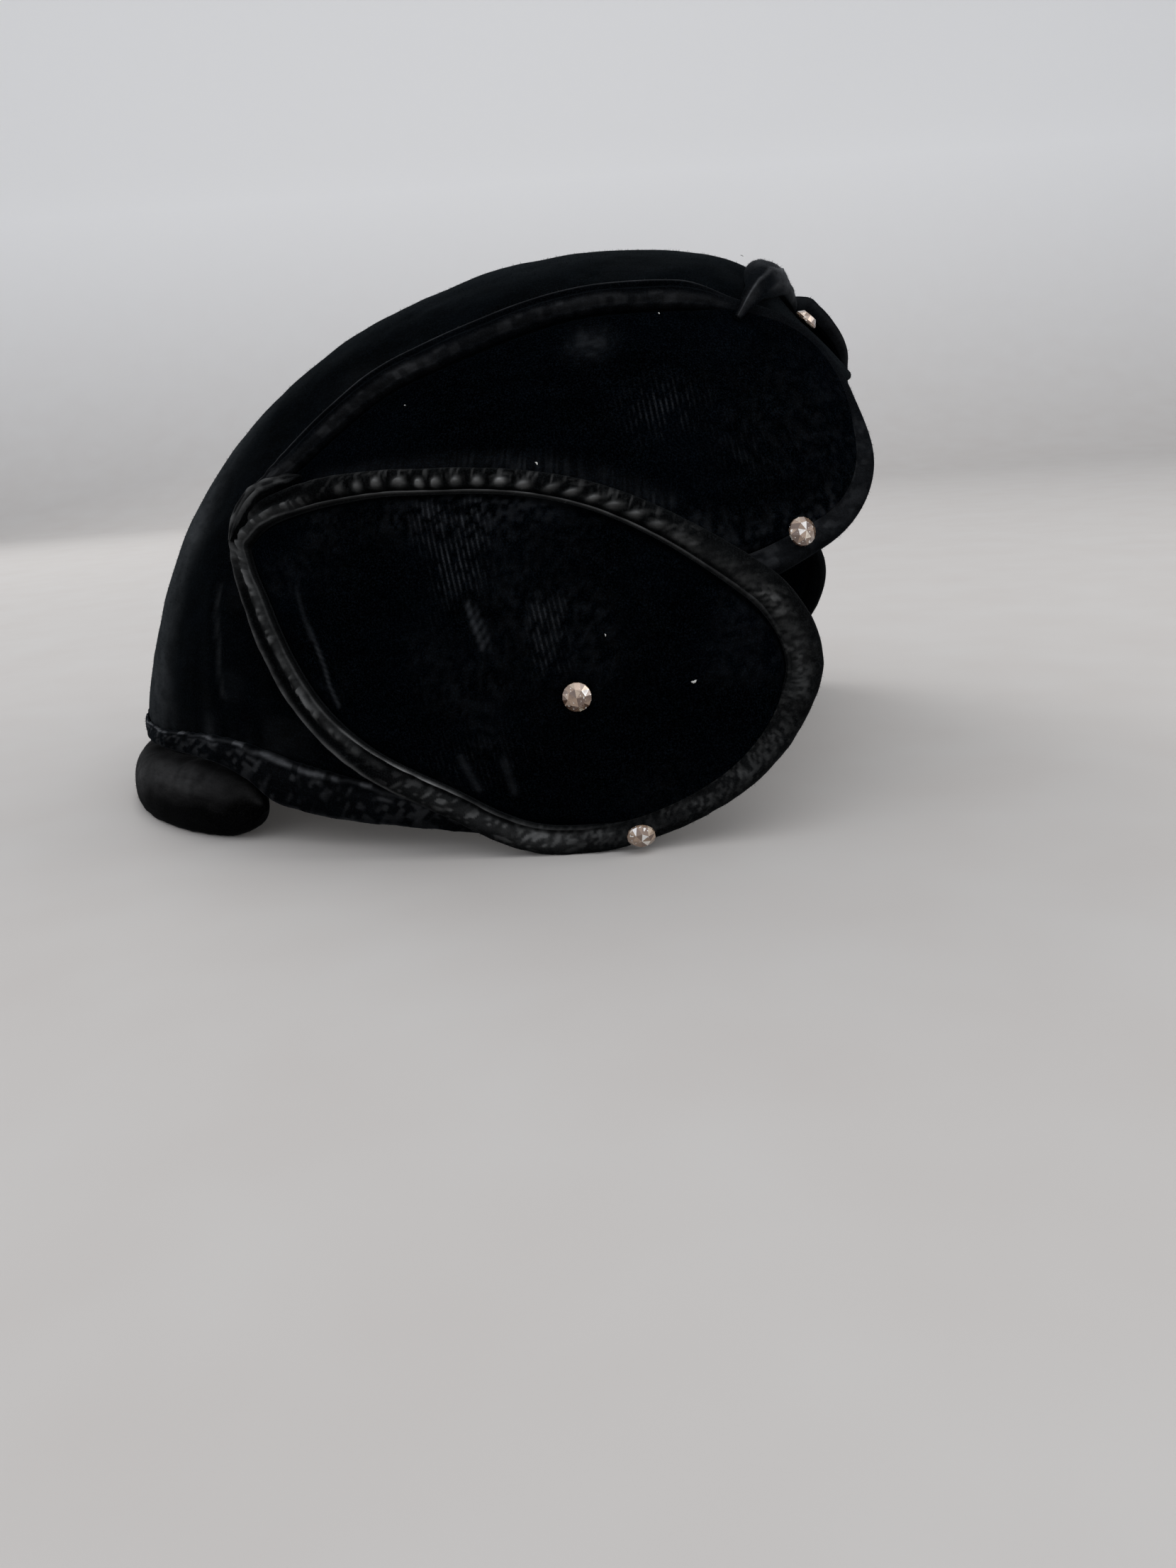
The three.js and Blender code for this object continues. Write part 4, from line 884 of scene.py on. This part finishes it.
    # the cord along the seam is lighter pile, and the strong band where the turned fold runs towards the rear is a
    # painted highlight
    cord_pile_and_fold_highlight = 0.30 + 0.22 * smooth(0.12, 0.16, p) * (1 - smooth(0.33, 0.38, p)) + 0.85 * smooth(0.745, 0.78, p) * (1 - smooth(0.82, 0.86, p)) - 0.12 * smooth(0.86, 0.9, p)
    crush = crush + cord_pile_and_fold_highlight * bell(a, 0.94, 0.038) * (1 - 0.6 * mottled) * seam * (0.75 + 0.35 * ripple)
    # painted highlight: a thin light line along the binding's outer edge towards the rear
    outer = smooth(0.76, 0.84, p) * (1 - smooth(0.985, 0.998, p))
    crush = crush + outer * (0.30 + 0.12 * noise_line(s / 3.0, seed + 15)) * bell(a, 0.12, 0.055 + 0.035 * smooth(0.80, 0.84, p) * (1 - smooth(0.92, 0.96, p)))
    # the rear tip is folded, bulky and worn light
    reach = np.minimum(p, 1 - p)
    tip = np.exp(-((reach / 0.020) ** 2))
    crush = crush * (1 - 0.4 * tip) + (0.30 + 0.45 * clump) * tip * bell(a, 0.45, 0.34)
    rise = rise + tip * (0.06 * bell(a, 0.35, 0.3) + 0.12 * np.sin(s * 2.0 + 7 * a) * bell(a, 0.45, 0.3))
    return rise, np.clip(crush, 0, 1), beads


def upper_style(leaf, a, s, p, seed, index):
    """Flat turned band with a thin painted highlight line along its outer ridge and a mottled one inside; plain and
    round at the front.
    """
    number = (index - index[0])[:, None]
    left = (index[-1] - index)[:, None]
    plain = smooth(0.335, 0.375, p)
    low_front = smooth(0.47, 0.53, p)
    rise = 0.28 + 0.62 * np.clip(1 - np.abs((a - 0.40) / 0.50) ** 2.8, 0, 1) ** 0.5
    rise = np.where(a > 0.84, np.maximum(rise, 0.28 + 0.26 * np.clip(1 - ((a - 0.92) / 0.08) ** 2, 0, 1) ** 0.5), rise)
    wander = 0.03 * noise_line(s / 16.0, seed)
    inner = np.interp(p, [0, 0.12, 0.24, 0.30, 0.34], [0.82, 0.82, 0.76, 0.78, 0.80])
    rise = rise + 0.05 * bell(a, 0.13 + wander, 0.05) - 0.10 * bell(a, 0.34 + wander, 0.12) + 0.05 * bell(a, inner + wander, 0.10)
    flat = 0.10 + 0.437 * np.clip(1 - np.abs(a - 1.0) ** 3.2, 0, 1) ** 0.5
    turned = flat * (1 - low_front) + soft_roll(a, 0.537, 0.94, 0.40) * low_front
    if leaf.side > 0:
        near_end = smooth(0.285, 0.312, p) * (1 - smooth(0.460, 0.490, p))
        high = np.interp(p, [0.30, 0.325, 0.345, 0.360, 0.372, 0.385, 0.40, 0.42, 0.44, 0.48], [1.30, 1.62, 1.58, 1.38, 1.16, 0.92, 0.80, 0.72, 0.66, 0.60])
        turned = turned * (1 - near_end) + soft_roll(a, 0.537, high, 0.42) * near_end
    if leaf.side > 0:
        plain = np.maximum(plain, smooth(0.285, 0.315, p))
    rise = rise * (1 - plain) + turned * plain
    rise = rise + 0.02 * (1 - plain) * noise(np.stack(np.broadcast_arrays(s / 6.0, a * 2.0), -1), seed + 2)
    spots = smooth(-0.2, 0.6, noise(np.stack(np.broadcast_arrays(s / 1.3, a * 6.0), -1), seed + 4))
    haze = 0.5 + 0.5 * noise(np.stack(np.broadcast_arrays(s / 9.0, a * 1.5), -1), seed + 8)
    # painted highlight: the thin light line along the band's raised outer ridge
    line = bell(a, 0.12 + 0.5 * wander, 0.035) * (0.46 + 0.14 * noise_line(s / 5.0, seed + 6))
    band = bell(a, inner + wander, 0.14) * (0.05 + 0.12 * spots + 0.09 * haze)
    crush = (line + band) * (1 - plain)
    crush = crush + plain * (0.08 * bell(a, 0.12, 0.09) * (1 - low_front) + 0.02 + low_front * (0.05 + 0.20 * spots * haze) * bell(a, 0.7, 0.4))
    tip = np.exp(-((p / 0.035) ** 2))
    crush = crush + (0.22 + 0.3 * spots) * tip * bell(a, 0.5, 0.4)
    rise = rise + tip * 0.07 * np.sin(s * 1.9 + 6 * a)
    # both ends close round, and the front one runs on flat under the lower leaf
    under = smooth(0.61, 0.64, p)
    rise = rise * (1 - under) + np.minimum(rise, 0.50) * under
    for count in (number, left):
        near = np.clip(count / 9.0, 0, 1)
        rise = 0.10 + (rise - 0.10) * np.sqrt(np.clip(1 - (1 - near) ** 2, 0, 1))
    return rise, np.clip(crush, 0, 1), None


def build_leaves():
    for side, label, top, spine_to, seed in ((-1, "right", UPPER_LEAF_TOP, 0.84, 100), (1, "left", LEFT_UPPER_LEAF_TOP, 0.79, 200)):
        bottom = UPPER_LEAF_BOTTOM if side < 0 else [(az + 3.0 * (1 - az / 126.6) if k < len(UPPER_LEAF_BOTTOM) else az, el) for k, (az, el) in enumerate(UPPER_LEAF_BOTTOM)]
        leaf = Leaf(top, bottom, side, 960, 0.16, spine_to, front=26 if side < 0 else 9, rear=4)
        width = lookup(UPPER_WIDTH, leaf.part)
        leaf_panel(f"petal_upper_{label}_velvet", f"petal_upper_{label}", leaf, width, UPPER_IN, UPPER_OUT, seed, paint_upper,
                   smooth(0.335, 0.375, leaf.part) * (1 - smooth(0.60, 0.64, leaf.part)))
        binding_ring(f"binding_upper_{label}_velvet", f"binding_upper_{label}", leaf, width, UPPER_IN, UPPER_RIM, seed + 20, upper_style, (8, 640), side)
        leaf = Leaf(LOWER_LEAF_TOP, LOWER_LEAF_BOTTOM, side, 960, front=22, rear=4)
        width = lookup(LOWER_WIDTH, leaf.part)
        leaf_panel(f"petal_lower_{label}_velvet", f"petal_lower_{label}", leaf, width, LOWER_IN, LOWER_OUT, seed + 40, paint_lower,
                   smooth(0.485, 0.53, leaf.part) * (1 - smooth(0.64, 0.685, leaf.part)))
        binding_ring(f"binding_lower_{label}_velvet", f"binding_lower_{label}", leaf, width, LOWER_IN, LOWER_RIM, seed + 60, lower_style, None, side)


# ------------------------------------------------------------------ hem band, nape roll, knot
def back_stations(start, columns):
    a = start + (360 - 2 * start) * np.arange(columns + 1) / columns
    return np.where(a <= 180, a, 360 - a), np.where(a <= 180, -1.0, 1.0), a


def strip(name, points, marks):
    """A closed body from sections in order, ends closed on their middles."""
    n, m = points.shape[:2]
    j = np.arange(m)
    ends = np.stack([points[0].mean(0), points[-1].mean(0)])
    first = np.stack([np.full(m, n * m), j, (j + 1) % m, (j + 1) % m], -1)
    last = np.stack([np.full(m, n * m + 1), (n - 1) * m + (j + 1) % m, (n - 1) * m + j, (n - 1) * m + j], -1)
    marks = {k: np.concatenate([np.asarray(v).reshape(-1), [0.0, 0.0]]) for k, v in marks.items()}
    obj = make(name, np.vstack([points.reshape(-1, 3), ends]), np.vstack([grid_quads(n, m, wrap_cols=True), first, last]), marks, weld=False)
    return close_normals(obj)


def build_hem():
    columns = 620
    az, side, a = back_stations(85.0, columns)
    row = lookup(HEM_BAND, az)
    top, bottom = row[:, :1], row[:, 1:]
    u = np.concatenate([np.linspace(0, 1, 34), [0.93, 0.5, 0.07]])[None, :]
    n_out = 34
    along = (a[:, None] / 1.0)
    nap = noise(np.stack(np.broadcast_arrays(along * 0.42, u * 1.3), -1), 51)
    fine = noise(np.stack(np.broadcast_arrays(along * 1.1, u * 2.0), -1), 52)
    pinch = 0.5 + 0.5 * np.cos(2 * np.pi * (along / 2.9 + 1.1 * noise_line(a[:, None] / 6.0, 53)))
    body = np.clip(1 - np.abs(2 * u - 1.0) ** 3.4, 0, 1) ** 0.5
    lift = BAND_IN + 0.15 + (BAND_OUT - BAND_IN - 0.35) * body * (1 - 0.80 * smooth(140, 158, az[:, None]))
    lift = lift + body * (0.34 * nap + 0.16 * fine) - 0.30 * pinch * np.exp(-((u - 0.10) / 0.10) ** 2)
    lift[:, n_out:] = BAND_IN
    dash = smooth(-0.35, 0.35, noise(np.stack(np.broadcast_arrays(along * 0.95, u * 3.0), -1), 54))
    slant = smooth(-0.1, 0.8, noise(np.stack(np.broadcast_arrays(along * 1.25 - u * 5.5, u * 4.5 + along * 0.4), -1), 55) + 0.5 * noise(np.stack(np.broadcast_arrays(along * 0.35, u * 1.5), -1), 56))
    # the dashed light line near the seam is partly pressed pile and partly a painted highlight on the seam's puckers
    crush = (0.16 + 0.74 * dash) * np.exp(-(((u - 0.085 - 0.03 * nap) / 0.048) ** 2)) + 0.30 * dash * np.exp(-(((u - 0.26) / 0.05) ** 2)) * smooth(0.0, 0.5, nap)
    crush = crush + (0.04 + 0.34 * slant) * np.exp(-u / 0.55) * smooth(0.12, 0.25, u) * body + 0.05 * slant * body * smooth(0.0, 0.6, nap)
    crush = crush + 0.30 * np.exp(-((u - 0.95) / 0.04) ** 2) * (0.5 + 0.5 * fine)
    crush[:, n_out:] = 0
    el = top + (bottom - top) * u + 0.10 * fine * np.exp(-((u - 1) / 0.1) ** 2) + 0.16 * pinch * np.exp(-(u / 0.1) ** 2) * -1
    d = direction(az[:, None], el, side[:, None])
    points = on_form(d, lift)
    obj = strip("hem_band_velvet", points, {"crush": np.clip(crush, 0, 1), "rib": np.zeros(crush.shape), "lint": np.zeros(crush.shape)})
    place_piece(obj, velvet_band, "black_velvet", "hem_band")


def build_roll():
    columns, sides = 520, 56
    az, side, a = back_stations(121.0, columns)
    row = lookup(NAPE_ROLL, np.maximum(120.0, az + 1.1 * smooth(121, 123, az) * (1 - smooth(124, 132, az)) - 1.0 * (1 - smooth(121, 123, az))))
    top, bottom, outer, inner = (row[:, i : i + 1] for i in range(4))
    top = top - 1.6 * smooth(138, 156, az[:, None])
    bottom = bottom - 0.5 - 0.7 * smooth(122, 131, az[:, None]) - 0.4 * smooth(128, 140, az[:, None])
    t = (2 * np.pi * np.arange(sides) / sides)[None, :]
    c, s = np.cos(t), np.sin(t)
    power = lambda v, q: np.sign(v) * np.abs(v) ** q  # noqa: E731
    el = (top + bottom) / 2 + ((top - bottom) / 2) * power(s, 0.85)
    lift = (outer + inner) / 2 + ((outer - inner) / 2) * power(c, 0.85)
    along = a[:, None]
    # long wrinkles that run slantwise round the roll, deeper near its ends and stitched line
    twist = noise(np.stack(np.broadcast_arrays(along * 0.30 + 0.8 * s, t * 0.9), -1), 61)
    fine = noise(np.stack(np.broadcast_arrays(along * 0.95, t * 2.2), -1), 62)
    pinch = 0.5 + 0.5 * np.cos(2 * np.pi * (along / 3.4 + 0.6 * noise_line(along / 9.0, 63)))
    out = np.clip(c, 0, 1)
    lift = lift + (0.15 + out) * (0.16 * twist + 0.02 * fine)
    lift = lift - 0.16 * pinch * np.exp(-((s - 0.78) / 0.16) ** 2) * out
    el = el + 0.16 * twist * np.abs(s)
    # painted light: the roll's upper outer side is lighter, as its top faces the light, and less so near its front ends
    crush = 0.74 * smooth(-0.10, 0.7, s + 0.15 * twist) * (0.85 + 0.15 * fine) * out * (0.35 + 0.65 * smooth(124, 134, az[:, None]))
    points = on_form(direction(az[:, None], el, side[:, None]), lift)
    low = to_row(points)[..., 2]
    lift_up = np.maximum(0.0, 0.0002 - low)  # it rests flat on the floor
    points[..., 2] += lift_up * 1000
    obj = strip("nape_roll_velvet", points, {"crush": np.clip(crush, 0, 1), "rib": np.zeros(crush.shape), "lint": np.zeros(crush.shape)})
    place_piece(obj, velvet_roll, "black_velvet", "nape_roll")


def sagittal(angle, side):
    angle, side = np.radians(angle), np.radians(side)
    angle, side = np.broadcast_arrays(angle, side)
    return np.stack([np.cos(side) * np.cos(angle), np.sin(side), np.cos(side) * np.sin(angle)], -1)


def build_knot():
    """A soft pillow over the middle that thins to a tongue laid across each leaf's band."""
    columns, sides = 300, 88
    reach = 24.5
    turn = -reach * np.cos(np.pi * np.arange(columns + 1) / columns)
    x = turn[:, None]
    far = np.abs(x)
    # middle line, half width, crest and bed; the left half is a little lower and wider in front
    knots = [0, 6, 10, 14, 17, 21, 24.5]
    middle = np.interp(far, knots, [54.2, 54.0, 53.7, 53.3, 53.0, 52.7, 52.4])
    half = np.interp(far, knots, [2.9, 2.8, 2.4, 1.75, 1.35, 1.05, 0.35])
    crest = np.where(x < 0, np.interp(far, knots, [7.4, 7.3, 7.7, 8.0, 7.9, 7.7, 6.6]), np.interp(far, knots, [7.6, 7.3, 7.2, 7.5, 7.8, 7.7, 6.6]))
    bed = np.interp(far, [0, 9, 14, 17, 19, 22.5, 24.5], [3.1, 3.2, 3.6, 5.2, 6.8, 6.8, 5.8])
    lobe = np.exp(-(((x - 9.0) / 5.0) ** 2))
    kernel = np.exp(-0.5 * (np.arange(-24, 25) / 8.0) ** 2)
    kernel /= kernel.sum()
    calm = lambda v: np.convolve(np.pad(v[:, 0], 24, mode="edge"), kernel, "valid")[:, None]  # noqa: E731
    middle, half, crest, bed = (calm(v) for v in (middle, half, crest, bed))
    t = (2 * np.pi * np.arange(sides) / sides)[None, :]
    c, s = np.cos(t), np.sin(t)
    power = lambda v, q: np.sign(v) * np.abs(v) ** q  # noqa: E731
    front = half + 1.5 * lobe
    angle = middle + np.where(s > 0, half, front) * power(s, 0.84)
    lift = np.where(c > 0, bed + (crest - bed) * np.abs(c) ** 0.9, bed - 0.05 * np.abs(c))
    out = np.clip(c, 0, 1) ** 0.5
    # a worn ridge runs its length, one fold drops straight down from it and the front foot is tucked
    wave = 0.10 * np.sin(x / 4.0 + 0.6)
    soft = noise(np.stack(np.broadcast_arrays(x * 0.33, s * 2.0), -1), 71)
    way = np.interp(far, [0, 4, 8, 13, 17, 24.5], [-0.50, -0.38, -0.20, 0.0, 0.08, 0.1])
    ridge = np.exp(-(((s - wave - way - 0.05 * soft) / 0.085) ** 2))
    foot = np.exp(-(((s + 0.86) / 0.08) ** 2)) * (1 - smooth(12, 18, far))
    down = np.exp(-(((far - 5.6 - 1.2 * s) / 0.55) ** 2)) * smooth(-0.12, -0.35, s)
    behind = np.exp(-(((s - 0.60 - 0.1 * np.sin(x / 3.3)) / 0.14) ** 2)) * (1 - smooth(8, 14, far))
    thin = smooth(14, 24, far)
    lift = lift + out * (1 - 0.6 * thin) * (0.36 * ridge + 0.20 * behind + 0.25 * down - 0.25 * np.exp(-(((s + 0.45) / 0.16) ** 2)) + 0.22 * soft)
    middle_part = np.exp(-((x / 12.0) ** 4))
    crush = ridge * (0.46 + 0.18 * soft) * (1 - 0.30 * smooth(21, 24, far)) + 0.20 * foot + 0.34 * down + 0.10 * behind
    crush = crush + middle_part * (0.33 + 0.14 * soft) + 0.14 * thin * (1 - np.abs(s))
    crush = np.clip(crush * out, 0, 1)
    points = on_form(sagittal(angle, x), lift)
    obj = strip("front_knot_velvet", points, {"crush": crush, "rib": np.zeros(crush.shape), "lint": np.zeros(crush.shape)})
    place_piece(obj, velvet_band, "binding_velvet", "front_knot")


# ------------------------------------------------------------------ stones
def build_stone(name, az, el, side, lift, seed):
    """A faceted dome: girdle and two rows of crown facets that meet in a point, on a flat back."""
    base = on_form(direction(az, el, side), lift)
    out = form_normal(base)
    out = out / np.linalg.norm(out)
    if "edge" in name:
        out = out + np.array([0.0, 0.0, -0.34])
        out = out / np.linalg.norm(out)
    u = np.cross([0.0, 0.0, 1.0], out)
    u /= np.linalg.norm(u)
    v = np.cross(out, u)
    rng = np.random.default_rng(seed)
    start = rng.uniform(0, math.pi / 4)
    points, foil_tone_and_glint = [], []
    for radius, height, count, shift in ((0.93, 0.0, 16, 0), (1.0, 0.12, 16, 0), (0.985, 0.34, 16, 0), (0.60, 0.90, 8, 0)):
        for j in range(count):
            t = start + 2 * math.pi * (j + shift) / count
            points.append(base + (u * math.cos(t) + v * math.sin(t)) * radius * STONE_RADIUS + out * height * STONE_HEIGHT)
    points.append(base + out * STONE_HEIGHT)
    faces = [list(range(16))[::-1]]
    for r in (0, 16):
        faces += [[r + j, r + (j + 1) % 16, r + 16 + (j + 1) % 16, r + 16 + j] for j in range(16)]
    for j in range(8):
        a, b, c = 32 + (2 * j - 1) % 16, 32 + 2 * j, 32 + 2 * j + 1
        here, after = 48 + j, 48 + (j + 1) % 8
        faces += [[a, b, here], [b, c, here], [c, after, here], [here, after, len(points) - 1]]
    # facets keep their own corners, so each has its own foil colour and painted reflection and stays flat
    verts, polys = [], []
    for f in faces:
        polys.append(list(range(len(verts), len(verts) + len(f))))
        verts += [points[i] for i in f]
        centre = np.mean([points[i] for i in f], 0) - base
        up = (centre @ v) / STONE_RADIUS
        # painted light: facets higher on the stone are lighter and about one in eight is lifted to near white as a
        # glint; the random spread below that is the foil's own tone
        foil_tone_and_glint += [float(np.clip(0.20 + 0.22 * up + rng.choice([-0.2, 0.0, 0.22, 0.75], p=[0.30, 0.34, 0.24, 0.12]) + rng.uniform(-0.07, 0.07), 0, 1))] * len(f)
    mesh = bpy.data.meshes.new(name)
    mesh.from_pydata(to_row(np.array(verts)).tolist(), [], polys)
    mesh.attributes.new("foil_tone_and_glint", "FLOAT", "POINT").data.foreach_set("value", np.array(foil_tone_and_glint, np.float32))
    obj = bpy.data.objects.new(name, mesh)
    bpy.context.scene.collection.objects.link(obj)
    import bmesh
    bm = bmesh.new()
    bm.from_mesh(mesh)
    for face in bm.faces:
        if face.normal.dot(face.calc_center_median() - Vector(to_row(base + out * 0.4 * STONE_HEIGHT).tolist())) < 0:
            face.normal_flip()
    bm.to_mesh(mesh)
    bm.free()
    node = name.replace("_glass", "")
    place_piece(obj, glass, "stone", node)


def build_tip(side, label):
    """The folded end of the upper band, laid over the rear tip of the lower leaf."""
    route = np.array([(114.3, 35.8), (116.4, 34.9), (118.1, 33.8), (119.4, 32.6), (121.0, 31.3), (122.0, 29.4), (122.5, 27.4), (122.9, 25.6)])
    n, m = 110, 28
    q = np.linspace(0, 1, n)
    az = np.interp(q, np.linspace(0, 1, len(route)), route[:, 0])
    el = np.interp(q, np.linspace(0, 1, len(route)), route[:, 1])
    kernel = np.exp(-0.5 * (np.arange(-12, 13) / 6.0) ** 2)
    kernel /= kernel.sum()
    az, el = (np.convolve(np.concatenate([2 * w[0] - w[12:0:-1], w, 2 * w[-1] - w[-2:-14:-1]]), kernel, "valid") for w in (az, el))
    middle = direction(az, el, side)
    along = np.gradient(on_form(middle, 8.0), axis=0)
    along /= np.linalg.norm(along, axis=-1, keepdims=True)
    out = form_normal(on_form(middle, 0))
    across = np.cross(along, out)
    half = np.interp(q, [0, 0.12, 0.35, 0.6, 0.8, 1.0], [0.3, 1.1, 1.7, 1.9, 1.5, 0.3]) * (1 + 0.10 * noise_line(q * 9 + 3 * side, 81))
    bed = np.interp(q, [0, 0.15, 0.4, 1.0], [5.7, 6.8, 9.0, 9.3])
    thick = np.interp(q, [0, 0.12, 0.4, 0.7, 0.88, 1.0], [0.2, 0.6, 0.95, 1.0, 0.8, 0.15])
    t = 2 * np.pi * np.arange(m) / m
    fold = 0.30 * np.exp(-(((np.cos(t)[None, :] - 0.35 - 0.2 * np.sin(q * 7)[:, None]) / 0.16) ** 2)) + 0.22 * np.exp(-(((np.cos(t)[None, :] + 0.5) / 0.18) ** 2))
    lump = noise(np.stack(np.broadcast_arrays(q[:, None] * 10.0, np.cos(t)[None, :] * 1.8 + 0 * q[:, None]), -1), 82 + (side > 0))
    up = np.clip(np.sin(t), 0, 1)[None, :]
    side_move = half[:, None] * np.cos(t)[None, :] * (1 + 0.10 * lump)
    lift = bed[:, None] + thick[:, None] * (0.5 + 0.5 * np.sin(t)[None, :]) + up * (fold + 0.36 * lump) * np.sin(np.pi * np.clip(q, 0.02, 0.98))[:, None]
    # the underside runs down to the crown, so that no daylight shows under the fold
    lift = lift - np.clip(-np.sin(t), 0, 1)[None, :] * (bed[:, None] - 1.8)
    points = on_form(middle, 0)[:, None] + across[:, None] * side_move[..., None] + out[:, None] * lift[..., None]
    crush = up * (0.13 + 0.55 * fold + 0.34 * np.clip(lump, -0.3, 1)) * smooth(0.0, 0.25, q)[:, None]
    obj = strip(f"petal_tip_fold_{label}", points, {"crush": np.clip(crush, 0, 1), "rib": np.zeros(crush.shape), "lint": np.zeros(crush.shape)})
    place_piece(obj, velvet_binding, "binding_velvet")


def build_pile(name, sources, material, slot, per_mm2, length, seed):
    """Short fibres standing on the cloth, which soften its outline."""
    rng = np.random.default_rng(seed)
    verts, marks = [], []
    for source in sources:
        mesh = source.data
        n = len(mesh.polygons)
        centre, normal, area = np.empty(n * 3), np.empty(n * 3), np.empty(n)
        mesh.polygons.foreach_get("center", centre)
        mesh.polygons.foreach_get("normal", normal)
        mesh.polygons.foreach_get("area", area)
        centre, normal = centre.reshape(-1, 3) * 1000, normal.reshape(-1, 3)
        form = centre + np.array([CENTRE_X, 0, FLOOR])
        facing = np.sum(form_normal(form) * normal, -1)
        weight = area * 1e6 * (facing > -0.15) * (centre[:, 2] > 0.6)
        count = int(weight.sum() * per_mm2)
        pick = rng.choice(n, count, p=weight / weight.sum())
        crush = np.empty(len(mesh.vertices), np.float32)
        mesh.attributes["crush"].data.foreach_get("value", crush)
        corner = np.array([mesh.polygons[int(i)].vertices[0] for i in pick])
        marks.append(np.repeat(crush[corner] * 0.8, 3))
        base, nrm = centre[pick], normal[pick]
        jitter = rng.normal(size=(count, 3)) * 0.12
        jitter -= np.sum(jitter * nrm, -1, keepdims=True) * nrm
        lean = rng.normal(size=(count, 3)) * 0.45
        tangent = np.cross(nrm, rng.normal(size=(count, 3)))
        tangent /= np.maximum(np.linalg.norm(tangent, axis=-1, keepdims=True), 1e-6)
        tall = length * rng.uniform(0.45, 1.0, (count, 1))
        root = base + jitter - nrm * 0.05
        verts.append(np.stack([root - tangent * 0.035, root + tangent * 0.035, root + (nrm + lean) * tall], 1).reshape(-1, 3))
    verts, marks = np.concatenate(verts), np.concatenate(marks)
    verts[:, 2] = np.maximum(verts[:, 2], 0.03)
    mesh = bpy.data.meshes.new(name)
    mesh.from_pydata((verts * 0.001).tolist(), [], np.arange(len(verts)).reshape(-1, 3).tolist())
    for key, value in (("crush", marks), ("rib", marks * 0), ("lint", marks * 0)):
        mesh.attributes.new(key, "FLOAT", "POINT").data.foreach_set("value", value.astype(np.float32))
    obj = bpy.data.objects.new(name, mesh)
    bpy.context.scene.collection.objects.link(obj)
    place_piece(obj, material, slot)


def build_lint():
    """A few pale bits of lint caught in the pile."""
    rng = np.random.default_rng(91)
    verts, faces = [], []
    for az, el, side, lift, size in ((56.3, 5.9, -1, 8.15, 0.42), (66.3, 12.9, -1, 8.1, 0.20), (72.4, 33.2, -1, 9.9, 0.26), (48.6, 49.4, -1, 5.4, 0.18),
                                     (10.5, 57.2, -1, 6.0, 0.30), (95.0, 45.0, -1, 5.4, 0.15), (62.0, 9.0, 1, 8.1, 0.3), (80.0, 44.0, 1, 5.4, 0.2), (150.0, 40.0, 1, 2.9, 0.25)):
        base = on_form(direction(az, el, side), lift)
        out = form_normal(base)
        u = np.cross(out, rng.normal(size=3))
        u /= np.linalg.norm(u)
        v = np.cross(out, u)
        start = len(verts)
        for i in range(7):
            f = i / 6 * 2 - 1
            centre = base + u * f * size * 1.3 + v * 0.5 * size * f * f + out * 0.12 * size * math.cos(3 * f)
            thick = size * 0.55 * math.sqrt(max(1 - f * f, 0.02)) * rng.uniform(0.8, 1.15)
            for j in range(8):
                t = 2 * math.pi * j / 8
                verts.append(centre + v * math.cos(t) * thick + out * math.sin(t) * thick * 0.6)
        for i in range(6):
            for j in range(8):
                a, b = start + i * 8 + j, start + i * 8 + (j + 1) % 8
                faces.append([a, b, b + 8, a + 8])
        faces += [list(range(start, start + 8))[::-1], list(range(start + 48, start + 56))]
    mesh = bpy.data.meshes.new("lint_specks")
    mesh.from_pydata(to_row(np.array(verts)).tolist(), [], faces)
    obj = bpy.data.objects.new("lint_specks", mesh)
    bpy.context.scene.collection.objects.link(obj)
    material, tree, bsdf = node_tree("lint")
    link(tree, mix_colour(tree, texture_noise(tree, 3000.0), (0.30, 0.30, 0.28), (0.75, 0.75, 0.72)), bsdf.inputs["Base Color"])
    bsdf.inputs["Roughness"].default_value = 0.8
    place_piece(obj, material, "binding_velvet")


build_crown()
build_leaves()
for tip_side, tip_label in ((-1, "right"), (1, "left")):
    build_tip(tip_side, tip_label)
build_hem()
build_roll()
build_knot()
for number, (name, az, el, side, lift) in enumerate(STONES):
    build_stone(name + "_glass", az, el, side, lift, 400 + number)

made = lambda *names: [bpy.data.objects[n] for n in names]  # noqa: E731
build_pile("pile_panels", made(*[f"petal_{w}_{l}_velvet" for w in ("upper", "lower") for l in ("right", "left")]), velvet_main, "black_velvet", 1.0, 0.35, 501)
build_pile("pile_crown", made("crown_velvet", "hem_band_velvet", "nape_roll_velvet"), velvet_crown, "black_velvet", 1.1, 0.35, 502)
build_pile("pile_bindings", made(*[f"binding_{w}_{l}_velvet" for w in ("upper", "lower") for l in ("right", "left")], "front_knot_velvet",
           "petal_tip_fold_right", "petal_tip_fold_left"), velvet_binding, "binding_velvet", 2.2, 0.40, 503)
build_lint()
